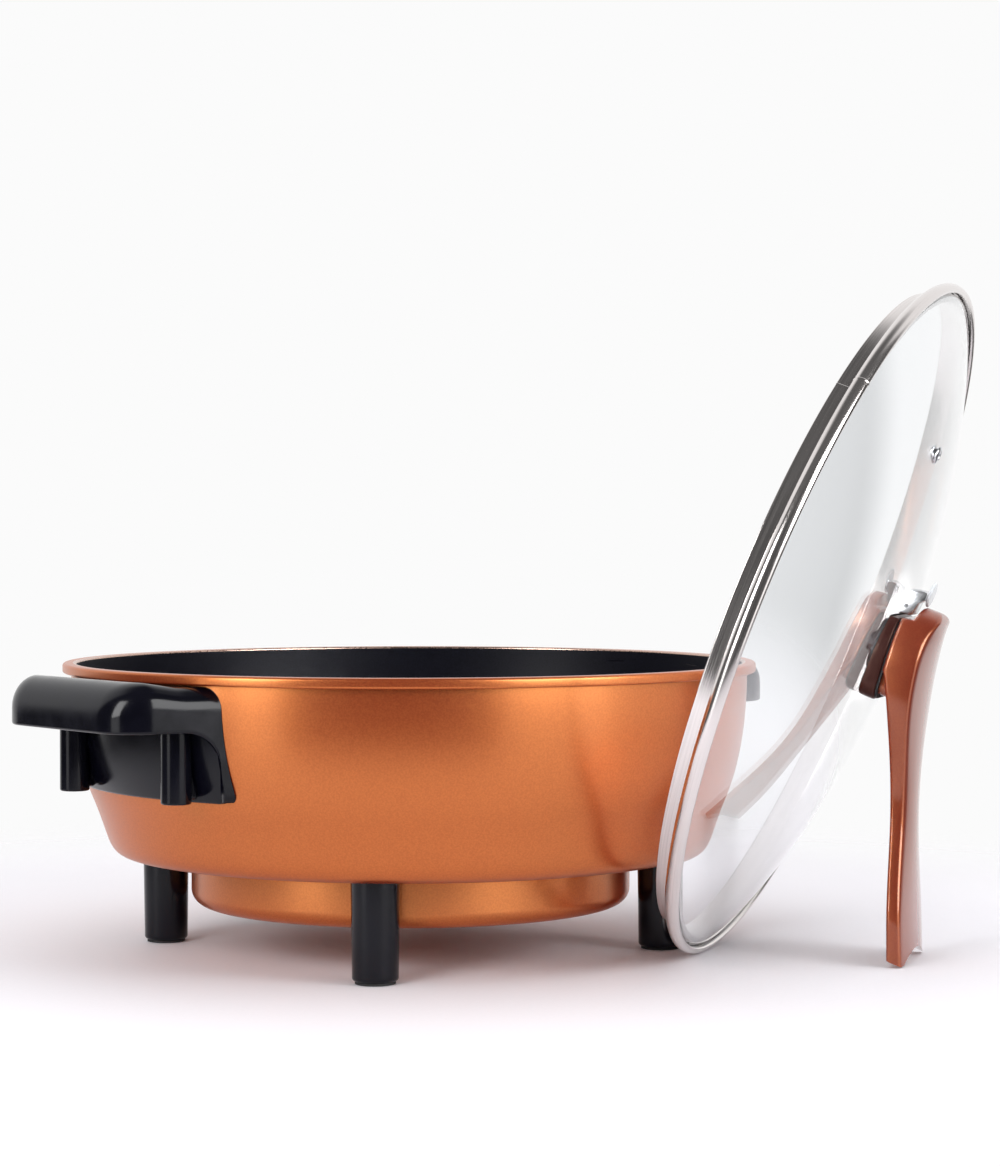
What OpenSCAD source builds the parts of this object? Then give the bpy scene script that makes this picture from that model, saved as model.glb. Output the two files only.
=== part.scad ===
// Electric skillet: a deep round pan on four legs, with two side handles and a
// loose glass lid that stands beside it on its rim and on the tail of its handle.
// Millimetres, +Z up. Z = 0 is the table, the pan's axis is Z and its handles lie along X.

/* [Pan] */
// Outer radius of the rim
rim_r = 160; // [150:1:175]
// Height of the rim band
rim_h = 4.4; // [3:0.2:7]
// How far the rim stands out from the wall
rim_overhang = 4; // [2.5:0.5:6]
// Depth from the rim's top to the underside
pan_depth = 88; // [82:1:100]
// Thickness of the wall
wall_t = 2.2; // [1.6:0.1:3.5]
// Thickness of the floor
floor_t = 3.5; // [2.5:0.1:5]
// How far the flat underside reaches past the middle of the legs
flat_out = 10; // [8:0.2:14]
// Height above the underside where the belly turns into the wall
belly_z = 27; // [23:1:32]
// How far the wall stands in from its top at that height
belly_in = 9.5; // [7:0.1:12]
// Lean of the wall there, from upright
belly_lean = 23; // [16:1:28]
// Chamfer on the inner edge of the mouth
mouth_chamfer = 0.7; // [0.3:0.1:1.2]

/* [Base drum] */
// Outer radius of the base cover
drum_r = 101.5; // [98:0.5:103]
// Height of the base cover below the pan
drum_h = 23.5; // [20:0.5:26]
// Radius of the base cover's bottom corner
drum_round = 7; // [4:0.5:9]
// Thickness of the base cover
drum_t = 1; // [0.6:0.1:1.4]

/* [Legs] */
// Height of the underside above the table
leg_h = 44; // [42:1:52]
// Gap between the base cover and the top of a leg
leg_gap = 3.7; // [2:0.1:6]
// Radius of a leg at the table
leg_r = 10; // [9.6:0.1:11]
// Radius of a leg at the pan
leg_top_r = 10.6; // [10:0.1:11.2]
// Height of the rubber under a leg
foot_h = 1; // [0.6:0.1:2]

/* [Side handles] */
// How far a handle stands out past the rim
handle_out = 28.7; // [26:0.1:36]
// Half the width of the grip at its outer end
grip_half_w = 53.8; // [50:0.1:56]
// Half the width of the handle at the pan
root_half_w = 63.8; // [62:0.1:66]
// Plan radius of the grip's corners
grip_corner = 21.2; // [16:0.2:26]
// Radius over the grip's outer edge
grip_round = 15; // [10:1:17]
// Radius over the grip's side edges
side_round = 9; // [5:1:12]
// Gap between the rim band and the top of the grip
rim_gap = 0.5; // [0.3:0.1:2]
// Rise of the grip's top from the rim outwards
grip_rise = 2.2; // [1:0.1:4]
// Depth of the grip's lip from its top
lip_depth = 21.1; // [19.5:0.1:25]
// Height of the whole handle from its top
handle_h = 51.7; // [46:0.1:56]
// Wall of the hollow grip
shell_t = 3.5; // [2.5:0.1:4.5]
// Radius of the fillet under the grip
wing_fillet = 15; // [10:1:18]
// How far the wings stand out in front of the wall's side
wing_out = 2.3; // [1.5:0.1:5]
// How much less they stand out at their lower end
wing_taper = 1.7; // [0:0.1:3]
// Radius of their lower corners
wing_corner = 5; // [2:0.5:8]
// Thickness of the back plate
back_t = 2.4; // [2:0.1:4]
// Distance of a screw column from the handle's middle
column_y = 41; // [38:0.5:43]
// Radius of a screw column
column_r = 6.5; // [5.5:0.1:7]

/* [Lid] */
// How far the lid's rim bead stands out past the pan's rim
bead_over = 1.4; // [0:0.2:3]
// Half the height of the bead
bead_half = 4.1; // [3.8:0.1:5]
// Depth of the skirt below the bead's underside
skirt_h = 6.8; // [5:0.2:10]
// Clearance of the skirt in the pan's mouth, all round
skirt_gap = 0.7; // [0.4:0.1:2]
// Thickness of the rim's sheet steel
band_t = 0.8; // [0.6:0.1:1.2]
// Rise of the glass from its edge to its middle
dome_h = 27.7; // [24:0.1:32]
// Thickness of the glass
glass_t = 4; // [3:0.5:5]
// Distance of the steam eyelet from the lid's middle
vent_r = 89.5; // [70:0.5:110]
// Turn of the steam eyelet from the lid's upper end
vent_turn = 8.7; // [0:0.1:20]

/* [Lid handle] */
// Width of the handle arm
arm_w = 53; // [46:1:60]
// Depth of the waist in each side of the arm
waist_in = 8.2; // [5:0.2:11]
// Half the length of the waist
waist_half = 51; // [42:1:56]
// Distance of the waist's middle from the lid's middle, along the lid
waist_down = 61.4; // [54:0.2:68]
// Reach of the arm's foot from the lid's middle, along the lid
foot_reach = 126.3; // [122:0.1:132]
// Height of the arm's foot above the glass
foot_rise = 63.2; // [58:0.2:68]
// Thickness of the arm at its foot, square to the lid
foot_t = 8.4; // [7:0.1:10]
// Thickness of the arm's head over the boss
head_t = 15; // [13:0.5:17]
// Length of the head above the lid's middle
head_up = 23; // [21:0.5:24]
// Length of the boss below the lid's middle
boss_down = 22; // [18:0.5:24]
// Length of the boss above the lid's middle
boss_up = 16.5; // [15:0.5:17]
// Height of the boss above the glass at the lid's middle
boss_h = 5.6; // [5:0.1:7]
// Slope of the boss's top, falling towards its upper end
boss_slope = 4.2; // [3:0.1:5]
// Height of the arch between the two corners of the foot
arch_h = 6; // [4:0.5:8]
// Width of each corner of the foot
arch_foot = 4; // [3:0.5:6]

/* [Steam lever] */
// Width of the lever
lever_w = 14; // [13:0.5:18]
// Height of the lever's pin from the lid's middle, along the lid
pin_up = 21; // [20.6:0.1:21.6]
// Radius of the lever's pin
pin_r = 1; // [0.8:0.1:1.2]
// Length of the lever above its pin
lever_up = 8.6; // [7.5:0.1:10]
// Radius of the thumb pad
pad_r = 5.8; // [5:0.1:6.4]
// Thickness of the thumb pad
pad_t = 1.6; // [1.2:0.1:2.2]

/* [Standing lid] */
// Gap between the front right leg and the lid's skirt
lid_gap = 2.8; // [2:0.1:30]
// Sideways shift of the lid from that leg
lid_side = -0.3; // [-12:0.1:12]
// Turn of the lid's side about the upright
lid_turn = 31.9; // [29:0.1:35]

/* [Hidden] */
$fn = 96;

// Clearance between pieces that are bolted or fitted together
fit = 0.1;
// Reach of a cut past the face that it opens
cut = 1;
// Steps along a curved outline
curve_n = 12;

copper = "#B8662B";
black = "#16161A";
steel = "#B9B6B4";

// Pan heights and radii
underside_z = leg_h;
rim_top_z = underside_z + pan_depth;
rim_under_z = rim_top_z - rim_h;
wall_r = rim_r - rim_overhang;
mouth_r = wall_r - wall_t;
leg_ring_r = drum_r + leg_gap + leg_top_r;
flat_r = leg_ring_r + flat_out;

// Points of a cubic curve through its four control points
function curve(p) = [for (i = [0 : curve_n]) let (t = i / curve_n, s = 1 - t)
    s * s * s * p[0] + 3 * s * s * t * p[1] + 3 * s * t * t * p[2] + t * t * t * p[3]];

// Points of an arc about c, from angle a to angle b
function arc(c, r, a, b, n = curve_n) = [for (i = [0 : n])
    c + r * [cos(a + (b - a) * i / n), sin(a + (b - a) * i / n)]];

// Outline of the belly and wall, set in by t at the wall and up by f at the floor
floor_pull = 0.72;
belly_pull = 0.88;
wall_low_pull = 0.2;
wall_top_pull = 0.48;
belly_dir = [sin(belly_lean), cos(belly_lean)];
function wall_curve(t, f) = let (
    turn = [wall_r - belly_in - t, underside_z + belly_z],
    start = [flat_r - t / 2, underside_z + f],
    w = turn[0] - start[0],
    top = [wall_r - t, rim_under_z],
    rise = top[1] - turn[1])
    concat(curve([start, start + [w * floor_pull, 0], turn - belly_z * belly_pull * belly_dir, turn]),
           curve([turn, turn + rise * wall_low_pull * belly_dir, top - [0, rise * wall_top_pull], top]));

// Base cover heights
drum_z = underside_z - drum_h;
inside_z = drum_z + drum_t;

// Heater inside the base
tube_r = 3.5;
ring_r = 75;
cold_r = 2.6;
terminal_x = 12;
terminal_drop = 7.8;
terminal_in = 4.5;
terminal_z = underside_z - terminal_drop;
terminal_y = drum_r - terminal_in;
ferrule_t = 0.3;
ferrule_r = tube_r + ferrule_t;
tube_z = underside_z - ferrule_r - fit;
ring_end = asin(terminal_x / ring_r);
pin_len = 24;
terminal_r = 2.3;
bush_r = 4.2;
bush_len = 7;
sleeve_r = 3.5;
sleeve_bore = 2.9;
sleeve_drop = 6.4;
sleeve_z = underside_z - sleeve_drop;
sleeve_y = 45;
sleeve_out = 16;
sleeve_end = 2;
sleeve_len = drum_r + sleeve_out - sleeve_y;
pad_half = 5;
sensor_len = 40;

// Layers over the base cover's floor
insulation_t = 1.5;
shield_t = 0.6;
insulation_in = 2;
insulation_r = drum_r - drum_round - insulation_in;
shield_r = drum_r - drum_round / 2 - drum_t;
shield_z = inside_z + insulation_t + fit;

// Base screws
base_post_r = 5;
base_ring_r = 45;
base_screw_r = 1.6;
base_head_r = 4;
base_head_h = 2.2;
base_screw_len = 7.5;
base_post_gap = 0.5;
base_angles = [30, 150, 270];

// Inlet at the rear of the base cover
shroud_half = 27;
shroud_wall = 2;
shroud_back = 2.4;
shroud_h = 16.3;
shroud_out = 24;
shroud_in = 10;
shroud_top_z = underside_z - 2 * fit;
shroud_z = shroud_top_z - shroud_h;
shroud_y = drum_r + shroud_out;
shroud_screw_r = 1.4;
shroud_head_r = 2.6;
shroud_screw_side = 1.65;
shroud_screw_x = shroud_half - shroud_wall - shroud_head_r - shroud_screw_side;
shroud_screw_turn = asin(shroud_screw_x / (drum_r + shroud_back + 2 * fit));
shroud_head_h = 1.8;
shroud_screw_len = 4.5;
shroud_screw_drop = 6.9;
shroud_screw_z = underside_z - shroud_screw_drop;
shroud_head_gap = 0.3;

// Leg fixings
leg_post_r = 4.5;
leg_post_h = 9;
leg_bore_r = 5.5;
leg_bore_h = 20;
leg_web_t = 2;
leg_web_z = foot_h + leg_bore_h + leg_web_t;
leg_screw_r = 2.1;
leg_head_r = 4.2;
leg_head_h = 3;
foot_in = 1.2;
foot_r = leg_r - foot_in;
foot_plug_h = 6;
leg_angles = [45, 135, 225, 315];

// Side handle places, with the handle on +X
reach = rim_r + handle_out;
root_top_z = rim_under_z - rim_gap;
grip_top_z = root_top_z + grip_rise;
lip_z = grip_top_z - lip_depth;
handle_z = grip_top_z - handle_h;
bracket_rise = 3;
bracket_z = lip_z + bracket_rise;
bracket_t = 2;
bracket_half = grip_half_w - shell_t - 4 * fit;
bracket_out = 12;
flange_h = 10;
flange_t = 1.5;
flange_r = wall_r + fit;
wing_x = sqrt(wall_r * wall_r - root_half_w * root_half_w) + wing_out;
column_out = 5;
column_x = sqrt(wall_r * wall_r - column_y * column_y) + column_out;
plate_in = 0.8;
handle_screw_r = 2.4;
handle_head_r = 4;
handle_head_h = 2.5;
handle_sink = 10;
handle_gap = 0.2;
handle_screw_tip = 2;
root_depth = 40;
// Angle short of a rounding's end, so that its last facet meets the flat face at a clear edge
edge_a = 1;
handle_in = rim_r - root_depth;
grip_taper = atan((root_half_w - grip_half_w) / (reach - grip_corner - handle_in));

// Lid profile in its own frame: Z is the lid's axis and points out of the dome
bead_drop = 1.4;
bead_c = [rim_r + bead_over - bead_half, -bead_drop];
bead_under = bead_c[1] - bead_half;
skirt_r = mouth_r - skirt_gap;
skirt_z = bead_under - skirt_h;
glass_out = 0.9;
glass_r = bead_c[0] + glass_out;
bead_floor = 0.7;
glass_edge_z = bead_under + bead_floor + glass_t + fit;
apex_z = glass_edge_z + dome_h;
dome_power = 2.3;
dome_n = 20;
roll_r = 1.65;
roll_from = 35;
roll_to = 150;
roll_c = bead_c + (bead_half - roll_r) * [cos(roll_from), sin(roll_from)];
lip_r = roll_c[0] + roll_r * cos(roll_to);
function dome_z(r) = glass_edge_z + dome_h * (1 - pow(r / glass_r, dome_power));
function dome_line(a, b, dz) = [for (i = [0 : dome_n]) let (r = a + (b - a) * i / dome_n)
    [r, dome_z(r) + dz]];

// Lid handle, along the lid (Y, up when it stands) and out of it (Z)
gasket_t = 0.6;
gasket_inset = 0.8;
boss_z = apex_z + gasket_t;
foot_z = apex_z + foot_rise;
boss_side = 1;
boss_half_w = arm_w / 2 - boss_side;
seam_t = 0.8;
seam_inset = 1;
function boss_top(y) = apex_z + boss_h - y * tan(boss_slope);
function arm_under(y) = boss_top(y) + seam_t;
head_z = arm_under(0) + head_t;
head_round = 4;
head_c = head_up - arm_w / 2;
waist_r = (waist_half * waist_half + waist_in * waist_in) / (2 * waist_in);
head_chamfer = 4.6;
boss_corner = 8;
lid_screw_r = 2.4;
lid_hole_r = 4;
lid_head_r = 4.5;
lid_head_h = 2.6;
washer_r = 13;
washer_t = 1.2;
plate_t = 1.4;
plate_r = 12;
washer_z = apex_z - glass_t - fit;
plate_z = washer_z - washer_t - plate_t;
lid_screw_cover = 5;
lid_screw_top = head_z - lid_screw_cover;
// Pulls of the arm's two curves, at the head, the toe, the heel and the shoulder
head_pull = [28.3, -3.4];
toe_pull = [58.2, -25];
heel_pull = [60.8, -23.8];
shoulder_pull = [-12.4, 11.1];
shoulder_in = 5;
head_edge = [1, 2];
arch_half = arm_w / 2 - arch_foot;
arch_r = (arch_half * arch_half + arch_h * arch_h) / (2 * arch_h);

// Steam lever
pin_rise = 3.2;
pin_z = apex_z + pin_rise;
pin_gap = 0.05;
lug_r = 2.6;
cheek_t = 2;
lug_gap = 0.3;
slot_half = lever_w / 2 - cheek_t;
lug_half = slot_half - lug_gap;
cheek_low = 2.8;
// Side view of the lever's cheeks below the pin, then of its tab above, from the pin
cheek_line = [[-0.8, -2.5], [-cheek_low, -1.8], [-cheek_low, 1.8], [-0.8, 4.2]];
tab_line = [[lever_up, 6], [lever_up - 1.6, 2.2], [lever_up, -1.4]];
slot_h = 20;
slot_drop = 8;
stem_r = 2;
stem_in = 3;
stem_rise = 5.2;
pad_rise = 7.2;
pad_up = 8;
stem_z = pin_z + stem_rise;
pad_z = pin_z + pad_rise;
pad_y = pin_up + pad_up;

// Eyelet
eyelet_r = 4.2;
eyelet_hole_r = 2.2;
eyelet_tube_r = 3;
eyelet_lip = 0.8;
eyelet_slack = 1;

// Standing pose: the bead's lowest point and the two corners of the foot meet the table,
// and the lid's skirt stands in front of the front right leg
foot_arm = [foot_z - bead_c[1], bead_c[0] - foot_reach];
lean = atan2(foot_arm[1], foot_arm[0]) + asin(bead_half / norm(foot_arm));
lid_out = [sin(lid_turn), -cos(lid_turn)];
lid_across = [cos(lid_turn), sin(lid_turn)];
skirt_out = skirt_r * sin(lean) - skirt_z * cos(lean);
lid_leg = leg_ring_r * [cos(leg_angles[3]), sin(leg_angles[3])];
lid_at = lid_leg + (leg_r + lid_gap + skirt_out) * lid_out + lid_side * lid_across;
lid_c = [lid_at[0], lid_at[1], bead_c[1] * sin(lean) + bead_c[0] * cos(lean) + bead_half];

module stand() { translate(lid_c) rotate([90 + lean, 0, lid_turn]) children(); }

// An outline in Y and Z, carried across the lid by the width w
module across(w) { rotate([90, 0, 90]) translate([0, 0, -w / 2]) linear_extrude(w) children(); }

// A round bar along Y
module bar_y(r, length) { rotate([-90, 0, 0]) cylinder(r = r, h = length); }

module pan_body(grow = 0) {
    outer = wall_curve(-grow, -grow);
    rotate_extrude() polygon(concat([[0, underside_z - grow]], outer,
        [[rim_r + grow, rim_under_z - grow], [rim_r + grow, rim_top_z],
         [0, rim_top_z]]));
}

module pan_hollow() {
    inner = wall_curve(wall_t, floor_t);
    rotate_extrude() polygon(concat([[0, underside_z + floor_t]], inner,
        [[mouth_r, rim_top_z - mouth_chamfer], [mouth_r + mouth_chamfer, rim_top_z],
         [mouth_r + mouth_chamfer, rim_top_z + cut], [0, rim_top_z + cut]]));
}

module at_legs() { for (a = leg_angles) rotate(a) translate([leg_ring_r, 0, 0]) children(); }

module at_base_screws() { for (a = base_angles) rotate(a) translate([base_ring_r, 0, 0]) children(); }

module pan() {
    post_z = underside_z - leg_post_h;
    sensor_h = underside_z - sleeve_z - sleeve_r - fit;
    color(copper) difference() {
        union() {
            difference() {
                pan_body();
                pan_hollow();
            }
            at_legs() translate([0, 0, post_z]) cylinder(r = leg_post_r, h = leg_post_h + floor_t / 2);
            at_base_screws() translate([0, 0, inside_z])
                cylinder(r = base_post_r, h = underside_z - inside_z + floor_t / 2);
            translate([-pad_half, sleeve_y, underside_z - sensor_h])
                cube([2 * pad_half, sensor_len, sensor_h + floor_t / 2]);
        }
        at_legs() translate([0, 0, post_z - cut])
            cylinder(r = leg_screw_r + fit, h = leg_post_h - cut);
        at_base_screws() translate([0, 0, inside_z - cut])
            cylinder(r = base_screw_r + fit, h = base_screw_len + 2 * cut);
    }
}

module heating_element() {
    end = [terminal_x, sqrt(ring_r * ring_r - terminal_x * terminal_x), tube_z];
    run = terminal_y - end[1];
    drop = terminal_z - tube_z;
    color("#6E6A66") {
        translate([0, 0, tube_z]) rotate(90 + ring_end) rotate_extrude(angle = 360 - 2 * ring_end)
            translate([ring_r, 0]) circle(r = tube_r);
        for (side = [-1, 1]) translate([side * end[0], end[1], end[2]]) {
            sphere(r = ferrule_r);
            rotate([-90 + atan2(drop, run), 0, 0]) cylinder(r = cold_r, h = norm([run, drop]));
        }
    }
}

module at_terminals() {
    for (side = [-1, 1]) translate([side * terminal_x, terminal_y, terminal_z]) children();
}

module terminal_pins() {
    color(steel) at_terminals() translate([0, cut, 0]) {
        bar_y(terminal_r, pin_len - terminal_r);
        translate([0, pin_len - terminal_r, 0]) sphere(r = terminal_r);
    }
}

module terminal_bushes() {
    color("#E4DED2") at_terminals() translate([0, cut, 0]) difference() {
        bar_y(bush_r, bush_len);
        translate([0, -cut, 0]) bar_y(terminal_r + fit, bush_len + 2 * cut);
    }
}

module probe_sleeve() {
    color(steel) translate([0, sleeve_y, sleeve_z]) difference() {
        bar_y(sleeve_r, sleeve_len);
        translate([0, sleeve_end, 0]) bar_y(sleeve_bore, sleeve_len);
    }
}

// Holes for the terminals, the probe sleeve and the shroud's screws, grown by gap
module inlet_holes(gap) {
    at_terminals() bar_y(bush_r + gap, bush_len + pin_len);
    translate([0, drum_r - shroud_in, sleeve_z]) bar_y(sleeve_r + gap, shroud_in + shroud_out);
    at_shroud_screws() rotate([0, 90, 0])
        cylinder(r = shroud_screw_r + gap, h = 4 * shroud_screw_len, center = true);
}

module at_shroud_screws() {
    for (side = [-1, 1]) rotate(90 + side * shroud_screw_turn)
        translate([drum_r + shroud_back + 2 * fit, 0, shroud_screw_z]) children();
}

module inlet_shroud() {
    inner_half = shroud_half - shroud_wall;
    color(black) difference() {
        translate([-shroud_half, drum_r - shroud_in, shroud_z])
            cube([2 * shroud_half, shroud_in + shroud_out, shroud_h]);
        translate([0, 0, shroud_z - cut]) cylinder(r = drum_r + fit, h = shroud_h + 2 * cut);
        difference() {
            translate([-inner_half, 0, shroud_z + shroud_wall])
                cube([2 * inner_half, shroud_y + cut, shroud_h - 2 * shroud_wall]);
            translate([0, 0, shroud_z]) cylinder(r = drum_r + fit + shroud_back, h = shroud_h);
        }
        inlet_holes(fit);
    }
}

module shroud_screws() {
    color(steel) at_shroud_screws() rotate([0, 90, 0]) {
        translate([0, 0, shroud_head_gap]) cylinder(r = shroud_head_r, h = shroud_head_h);
        translate([0, 0, -shroud_screw_len])
            cylinder(r = shroud_screw_r, h = shroud_screw_len + shroud_head_gap + shroud_head_h / 2);
    }
}

// A flat layer inside the base cover, with room for the pan's posts
module base_layer(r, h) {
    difference() {
        cylinder(r = r, h = h);
        at_base_screws() translate([0, 0, -cut]) cylinder(r = base_post_r + base_post_gap, h = h + 2 * cut);
    }
}

module insulation_pad() {
    color("#D8D2C4") translate([0, 0, inside_z]) base_layer(insulation_r, insulation_t);
}

module heat_shield() {
    color("#C9CBCC") translate([0, 0, shield_z]) base_layer(shield_r, shield_t);
}

// The base cover's outline, set in by t
function drum_line(t) = concat([[0, drum_z + t]],
    arc([drum_r - drum_round, drum_z + drum_round], drum_round - t, -90, 0),
    [[drum_r - t, underside_z + (t > 0 ? cut : -fit)], [0, underside_z + (t > 0 ? cut : -fit)]]);

module base_cover() {
    color(copper) difference() {
        rotate_extrude() polygon(drum_line(0));
        rotate_extrude() polygon(drum_line(drum_t));
        inlet_holes(fit);
        at_base_screws() translate([0, 0, drum_z - cut])
            cylinder(r = base_screw_r + 2 * fit, h = drum_t + 2 * cut);
    }
}

module base_screws() {
    color(steel) at_base_screws() {
        translate([0, 0, drum_z - base_head_h]) cylinder(r = base_head_r, h = base_head_h);
        translate([0, 0, drum_z - base_head_h / 2])
            cylinder(r = base_screw_r, h = base_screw_len + base_head_h / 2);
    }
}

module leg(angle) {
    socket_h = leg_post_h + 3 * fit;
    color(black) rotate(angle) translate([leg_ring_r, 0, 0]) difference() {
        translate([0, 0, foot_h]) cylinder(r1 = leg_r, r2 = leg_top_r, h = leg_h - foot_h);
        translate([0, 0, foot_h - cut]) cylinder(r = leg_bore_r, h = leg_web_z - foot_h + cut);
        translate([0, 0, leg_h - socket_h]) cylinder(r = leg_post_r + 2 * fit, h = socket_h + cut);
        cylinder(r = leg_screw_r + 3 * fit, h = leg_h);
    }
}

module leg_rear_right() { leg(leg_angles[0]); }
module leg_rear_left() { leg(leg_angles[1]); }
module leg_front_left() { leg(leg_angles[2]); }
module leg_front_right() { leg(leg_angles[3]); }

module leg_screws() {
    tip_z = underside_z - 3 * cut;
    color(steel) at_legs() {
        translate([0, 0, leg_web_z - leg_head_h]) cylinder(r = leg_head_r, h = leg_head_h);
        translate([0, 0, leg_web_z - leg_head_h / 2])
            cylinder(r = leg_screw_r, h = tip_z - leg_web_z + leg_head_h / 2);
    }
}

module foot_pads() {
    color("#1F1F20") at_legs() {
        cylinder(r = foot_r, h = foot_h);
        cylinder(r = leg_bore_r - fit, h = foot_h + foot_plug_h);
    }
}

// Plan of the grip with its round outer corners, set in by t and wider than its tapered sides
module grip_plan(t) {
    c = [reach - grip_corner, grip_half_w - grip_corner / cos(grip_taper)];
    r = grip_corner - t;
    end_a = 90 - grip_taper - edge_a;
    wide = root_half_w + 3 * cut;
    far = concat(arc(c, r + 3 * cut, end_a, end_a, 1), arc(c, r, end_a, 0));
    near = [for (i = [1 : len(far)]) let (p = far[len(far) - i]) [p[0], -p[1]]];
    polygon(concat([[handle_in, wide]], far, near, [[handle_in, -wide]]));
}

// Round outer edge of the grip in its side view, set in by t
function nose_line(t) = arc([reach - grip_round, grip_top_z - grip_round], grip_round - t, 0, 90);

// Side view of the handle, X outwards and Z up
module handle_side() {
    fillet = arc([wing_x + wing_fillet, lip_z - wing_fillet], wing_fillet, 180, 90);
    polygon(concat([[handle_in, handle_z], [wing_x - wing_taper, handle_z]], fillet, [[reach, lip_z]],
        nose_line(0), [[rim_r, root_top_z], [handle_in, root_top_z]]));
}

// Side view of the hollow under the grip
module hollow_side() {
    polygon(concat([[wing_x, lip_z - cut], [reach - shell_t, lip_z - cut]], nose_line(shell_t),
        [[rim_r, root_top_z - shell_t], [handle_in, root_top_z - shell_t], [handle_in, bracket_z],
         [wing_x, bracket_z]]));
}

// Front view of one side, Y across and Z up, set in by t and with rounded corners above and below
module side_front(side, t, low, low_r) {
    top_r = side_round - t;
    high = arc([-t - top_r, grip_top_z - t - top_r], top_r, 0, 90 - edge_a);
    corner = low_r > 0 ? arc([-t - low_r, low + low_r], low_r, edge_a - 90, 0) : [[-t, low]];
    over = [[high[curve_n][0], grip_top_z + cut], [-2 * root_half_w, grip_top_z + cut]];
    under = [[-2 * root_half_w, low - cut], [corner[0][0], low - cut]];
    line = concat(corner, high, over, under);
    polygon([for (p = line) [side * p[0], p[1]]]);
}

// What lies between the two tapered sides of the handle
module between_sides(t, low, low_r) {
    intersection_for (side = [-1, 1]) translate([handle_in, side * root_half_w, 0])
        rotate(-side * grip_taper) rotate([90, 0, 90]) translate([0, 0, -root_depth])
            linear_extrude(2 * reach) side_front(side, t, low, low_r);
}

module column_holes(r, low, high) {
    for (side = [-1, 1]) translate([column_x, side * column_y, low]) cylinder(r = r, h = high - low);
}

module side_handle() {
    deep = 2 * (root_half_w + cut);
    color(black) difference() {
        union() {
            difference() {
                intersection() {
                    translate([0, 0, handle_z - cut]) linear_extrude(handle_h + 2 * cut) grip_plan(0);
                    rotate([90, 0, 0]) translate([0, 0, -deep / 2]) linear_extrude(deep) handle_side();
                    between_sides(0, handle_z, wing_corner);
                }
                // Hollow under the grip
                intersection() {
                    translate([0, 0, lip_z - cut]) linear_extrude(handle_h) grip_plan(shell_t);
                    rotate([90, 0, 0]) translate([0, 0, -deep / 2]) linear_extrude(deep) hollow_side();
                    between_sides(shell_t, lip_z - cut, 0);
                }
                // Recess between the wings
                intersection() {
                    translate([handle_in, -deep / 2, handle_z - cut])
                        cube([wing_x + wing_fillet - handle_in, deep, bracket_z - handle_z + cut]);
                    between_sides(shell_t, handle_z - 2 * cut, 0);
                }
            }
            // Back plate that follows the wall behind the columns
            intersection() {
                pan_body(handle_gap + back_t);
                translate([handle_in, -deep / 2, handle_z]) cube([reach, deep, bracket_z - handle_z]);
                between_sides(plate_in, handle_z - cut, wing_corner);
            }
            column_holes(column_r, handle_z, bracket_z);
        }
        pan_body(handle_gap);
        column_holes(handle_screw_r + 2 * fit, handle_z - cut, bracket_z + cut);
        column_holes(handle_head_r + 3 * fit, handle_z - cut, handle_z + handle_sink);
    }
}

module handle_right() { side_handle(); }
module handle_left() { rotate(180) side_handle(); }

module side_bracket() {
    color("#8E9092") difference() {
        intersection() {
            translate([handle_in, -bracket_half, bracket_z])
                cube([reach, 2 * bracket_half, flange_h + bracket_t]);
            union() {
                translate([0, 0, bracket_z]) cylinder(r = flange_r + bracket_out, h = bracket_t);
                translate([0, 0, bracket_z]) cylinder(r = flange_r + flange_t, h = flange_h);
            }
        }
        translate([0, 0, bracket_z - cut]) cylinder(r = flange_r, h = flange_h + 2 * cut + bracket_t);
        column_holes(handle_screw_r + fit, bracket_z - cut, bracket_z + bracket_t + cut);
    }
}

module bracket_right() { side_bracket(); }
module bracket_left() { rotate(180) side_bracket(); }

module side_screws() {
    head_z = handle_z + handle_sink;
    color(steel) {
        column_holes(handle_head_r, head_z - handle_head_h, head_z);
        column_holes(handle_screw_r, head_z - handle_head_h / 2, bracket_z + bracket_t + handle_screw_tip);
    }
}

module handle_screws_right() { side_screws(); }
module handle_screws_left() { rotate(180) side_screws(); }

module at_vent() { rotate(90 + vent_turn) translate([vent_r, 0, 0]) children(); }

module lid_glass() {
    color("#DDE8E6", 0.35) stand() difference() {
        rotate_extrude() polygon(concat(dome_line(0, glass_r, 0), dome_line(glass_r, 0, -glass_t)));
        translate([0, 0, plate_z]) cylinder(r = lid_hole_r, h = glass_t + apex_z);
        at_vent() cylinder(r = eyelet_tube_r + fit, h = 2 * apex_z);
    }
}

module lid_rim() {
    pocket_low = dome_z(glass_r) - glass_t - fit;
    inner_r = skirt_r - band_t;
    color(steel) stand() rotate_extrude() polygon(concat(
        [[inner_r, skirt_z], [skirt_r, skirt_z], [skirt_r, bead_under]],
        arc(bead_c, bead_half, -90, roll_from - 2), arc(roll_c, roll_r, roll_from, roll_to),
        [[lip_r, dome_z(lip_r) + fit], [glass_r + fit, dome_z(glass_r) + fit],
         [glass_r + fit, pocket_low], [glass_r, pocket_low],
         [inner_r, dome_z(inner_r) - glass_t - fit]]));
}

module vent_eyelet() {
    high = dome_z(vent_r) + eyelet_slack;
    low = dome_z(vent_r) - glass_t - eyelet_slack - eyelet_lip;
    color(steel) stand() at_vent() difference() {
        union() {
            translate([0, 0, high]) cylinder(r = eyelet_r, h = eyelet_lip);
            translate([0, 0, low]) cylinder(r = eyelet_r, h = eyelet_lip);
            translate([0, 0, low]) cylinder(r = eyelet_tube_r, h = high - low + eyelet_lip);
        }
        cylinder(r = eyelet_hole_r, h = 2 * apex_z);
    }
}

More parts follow.
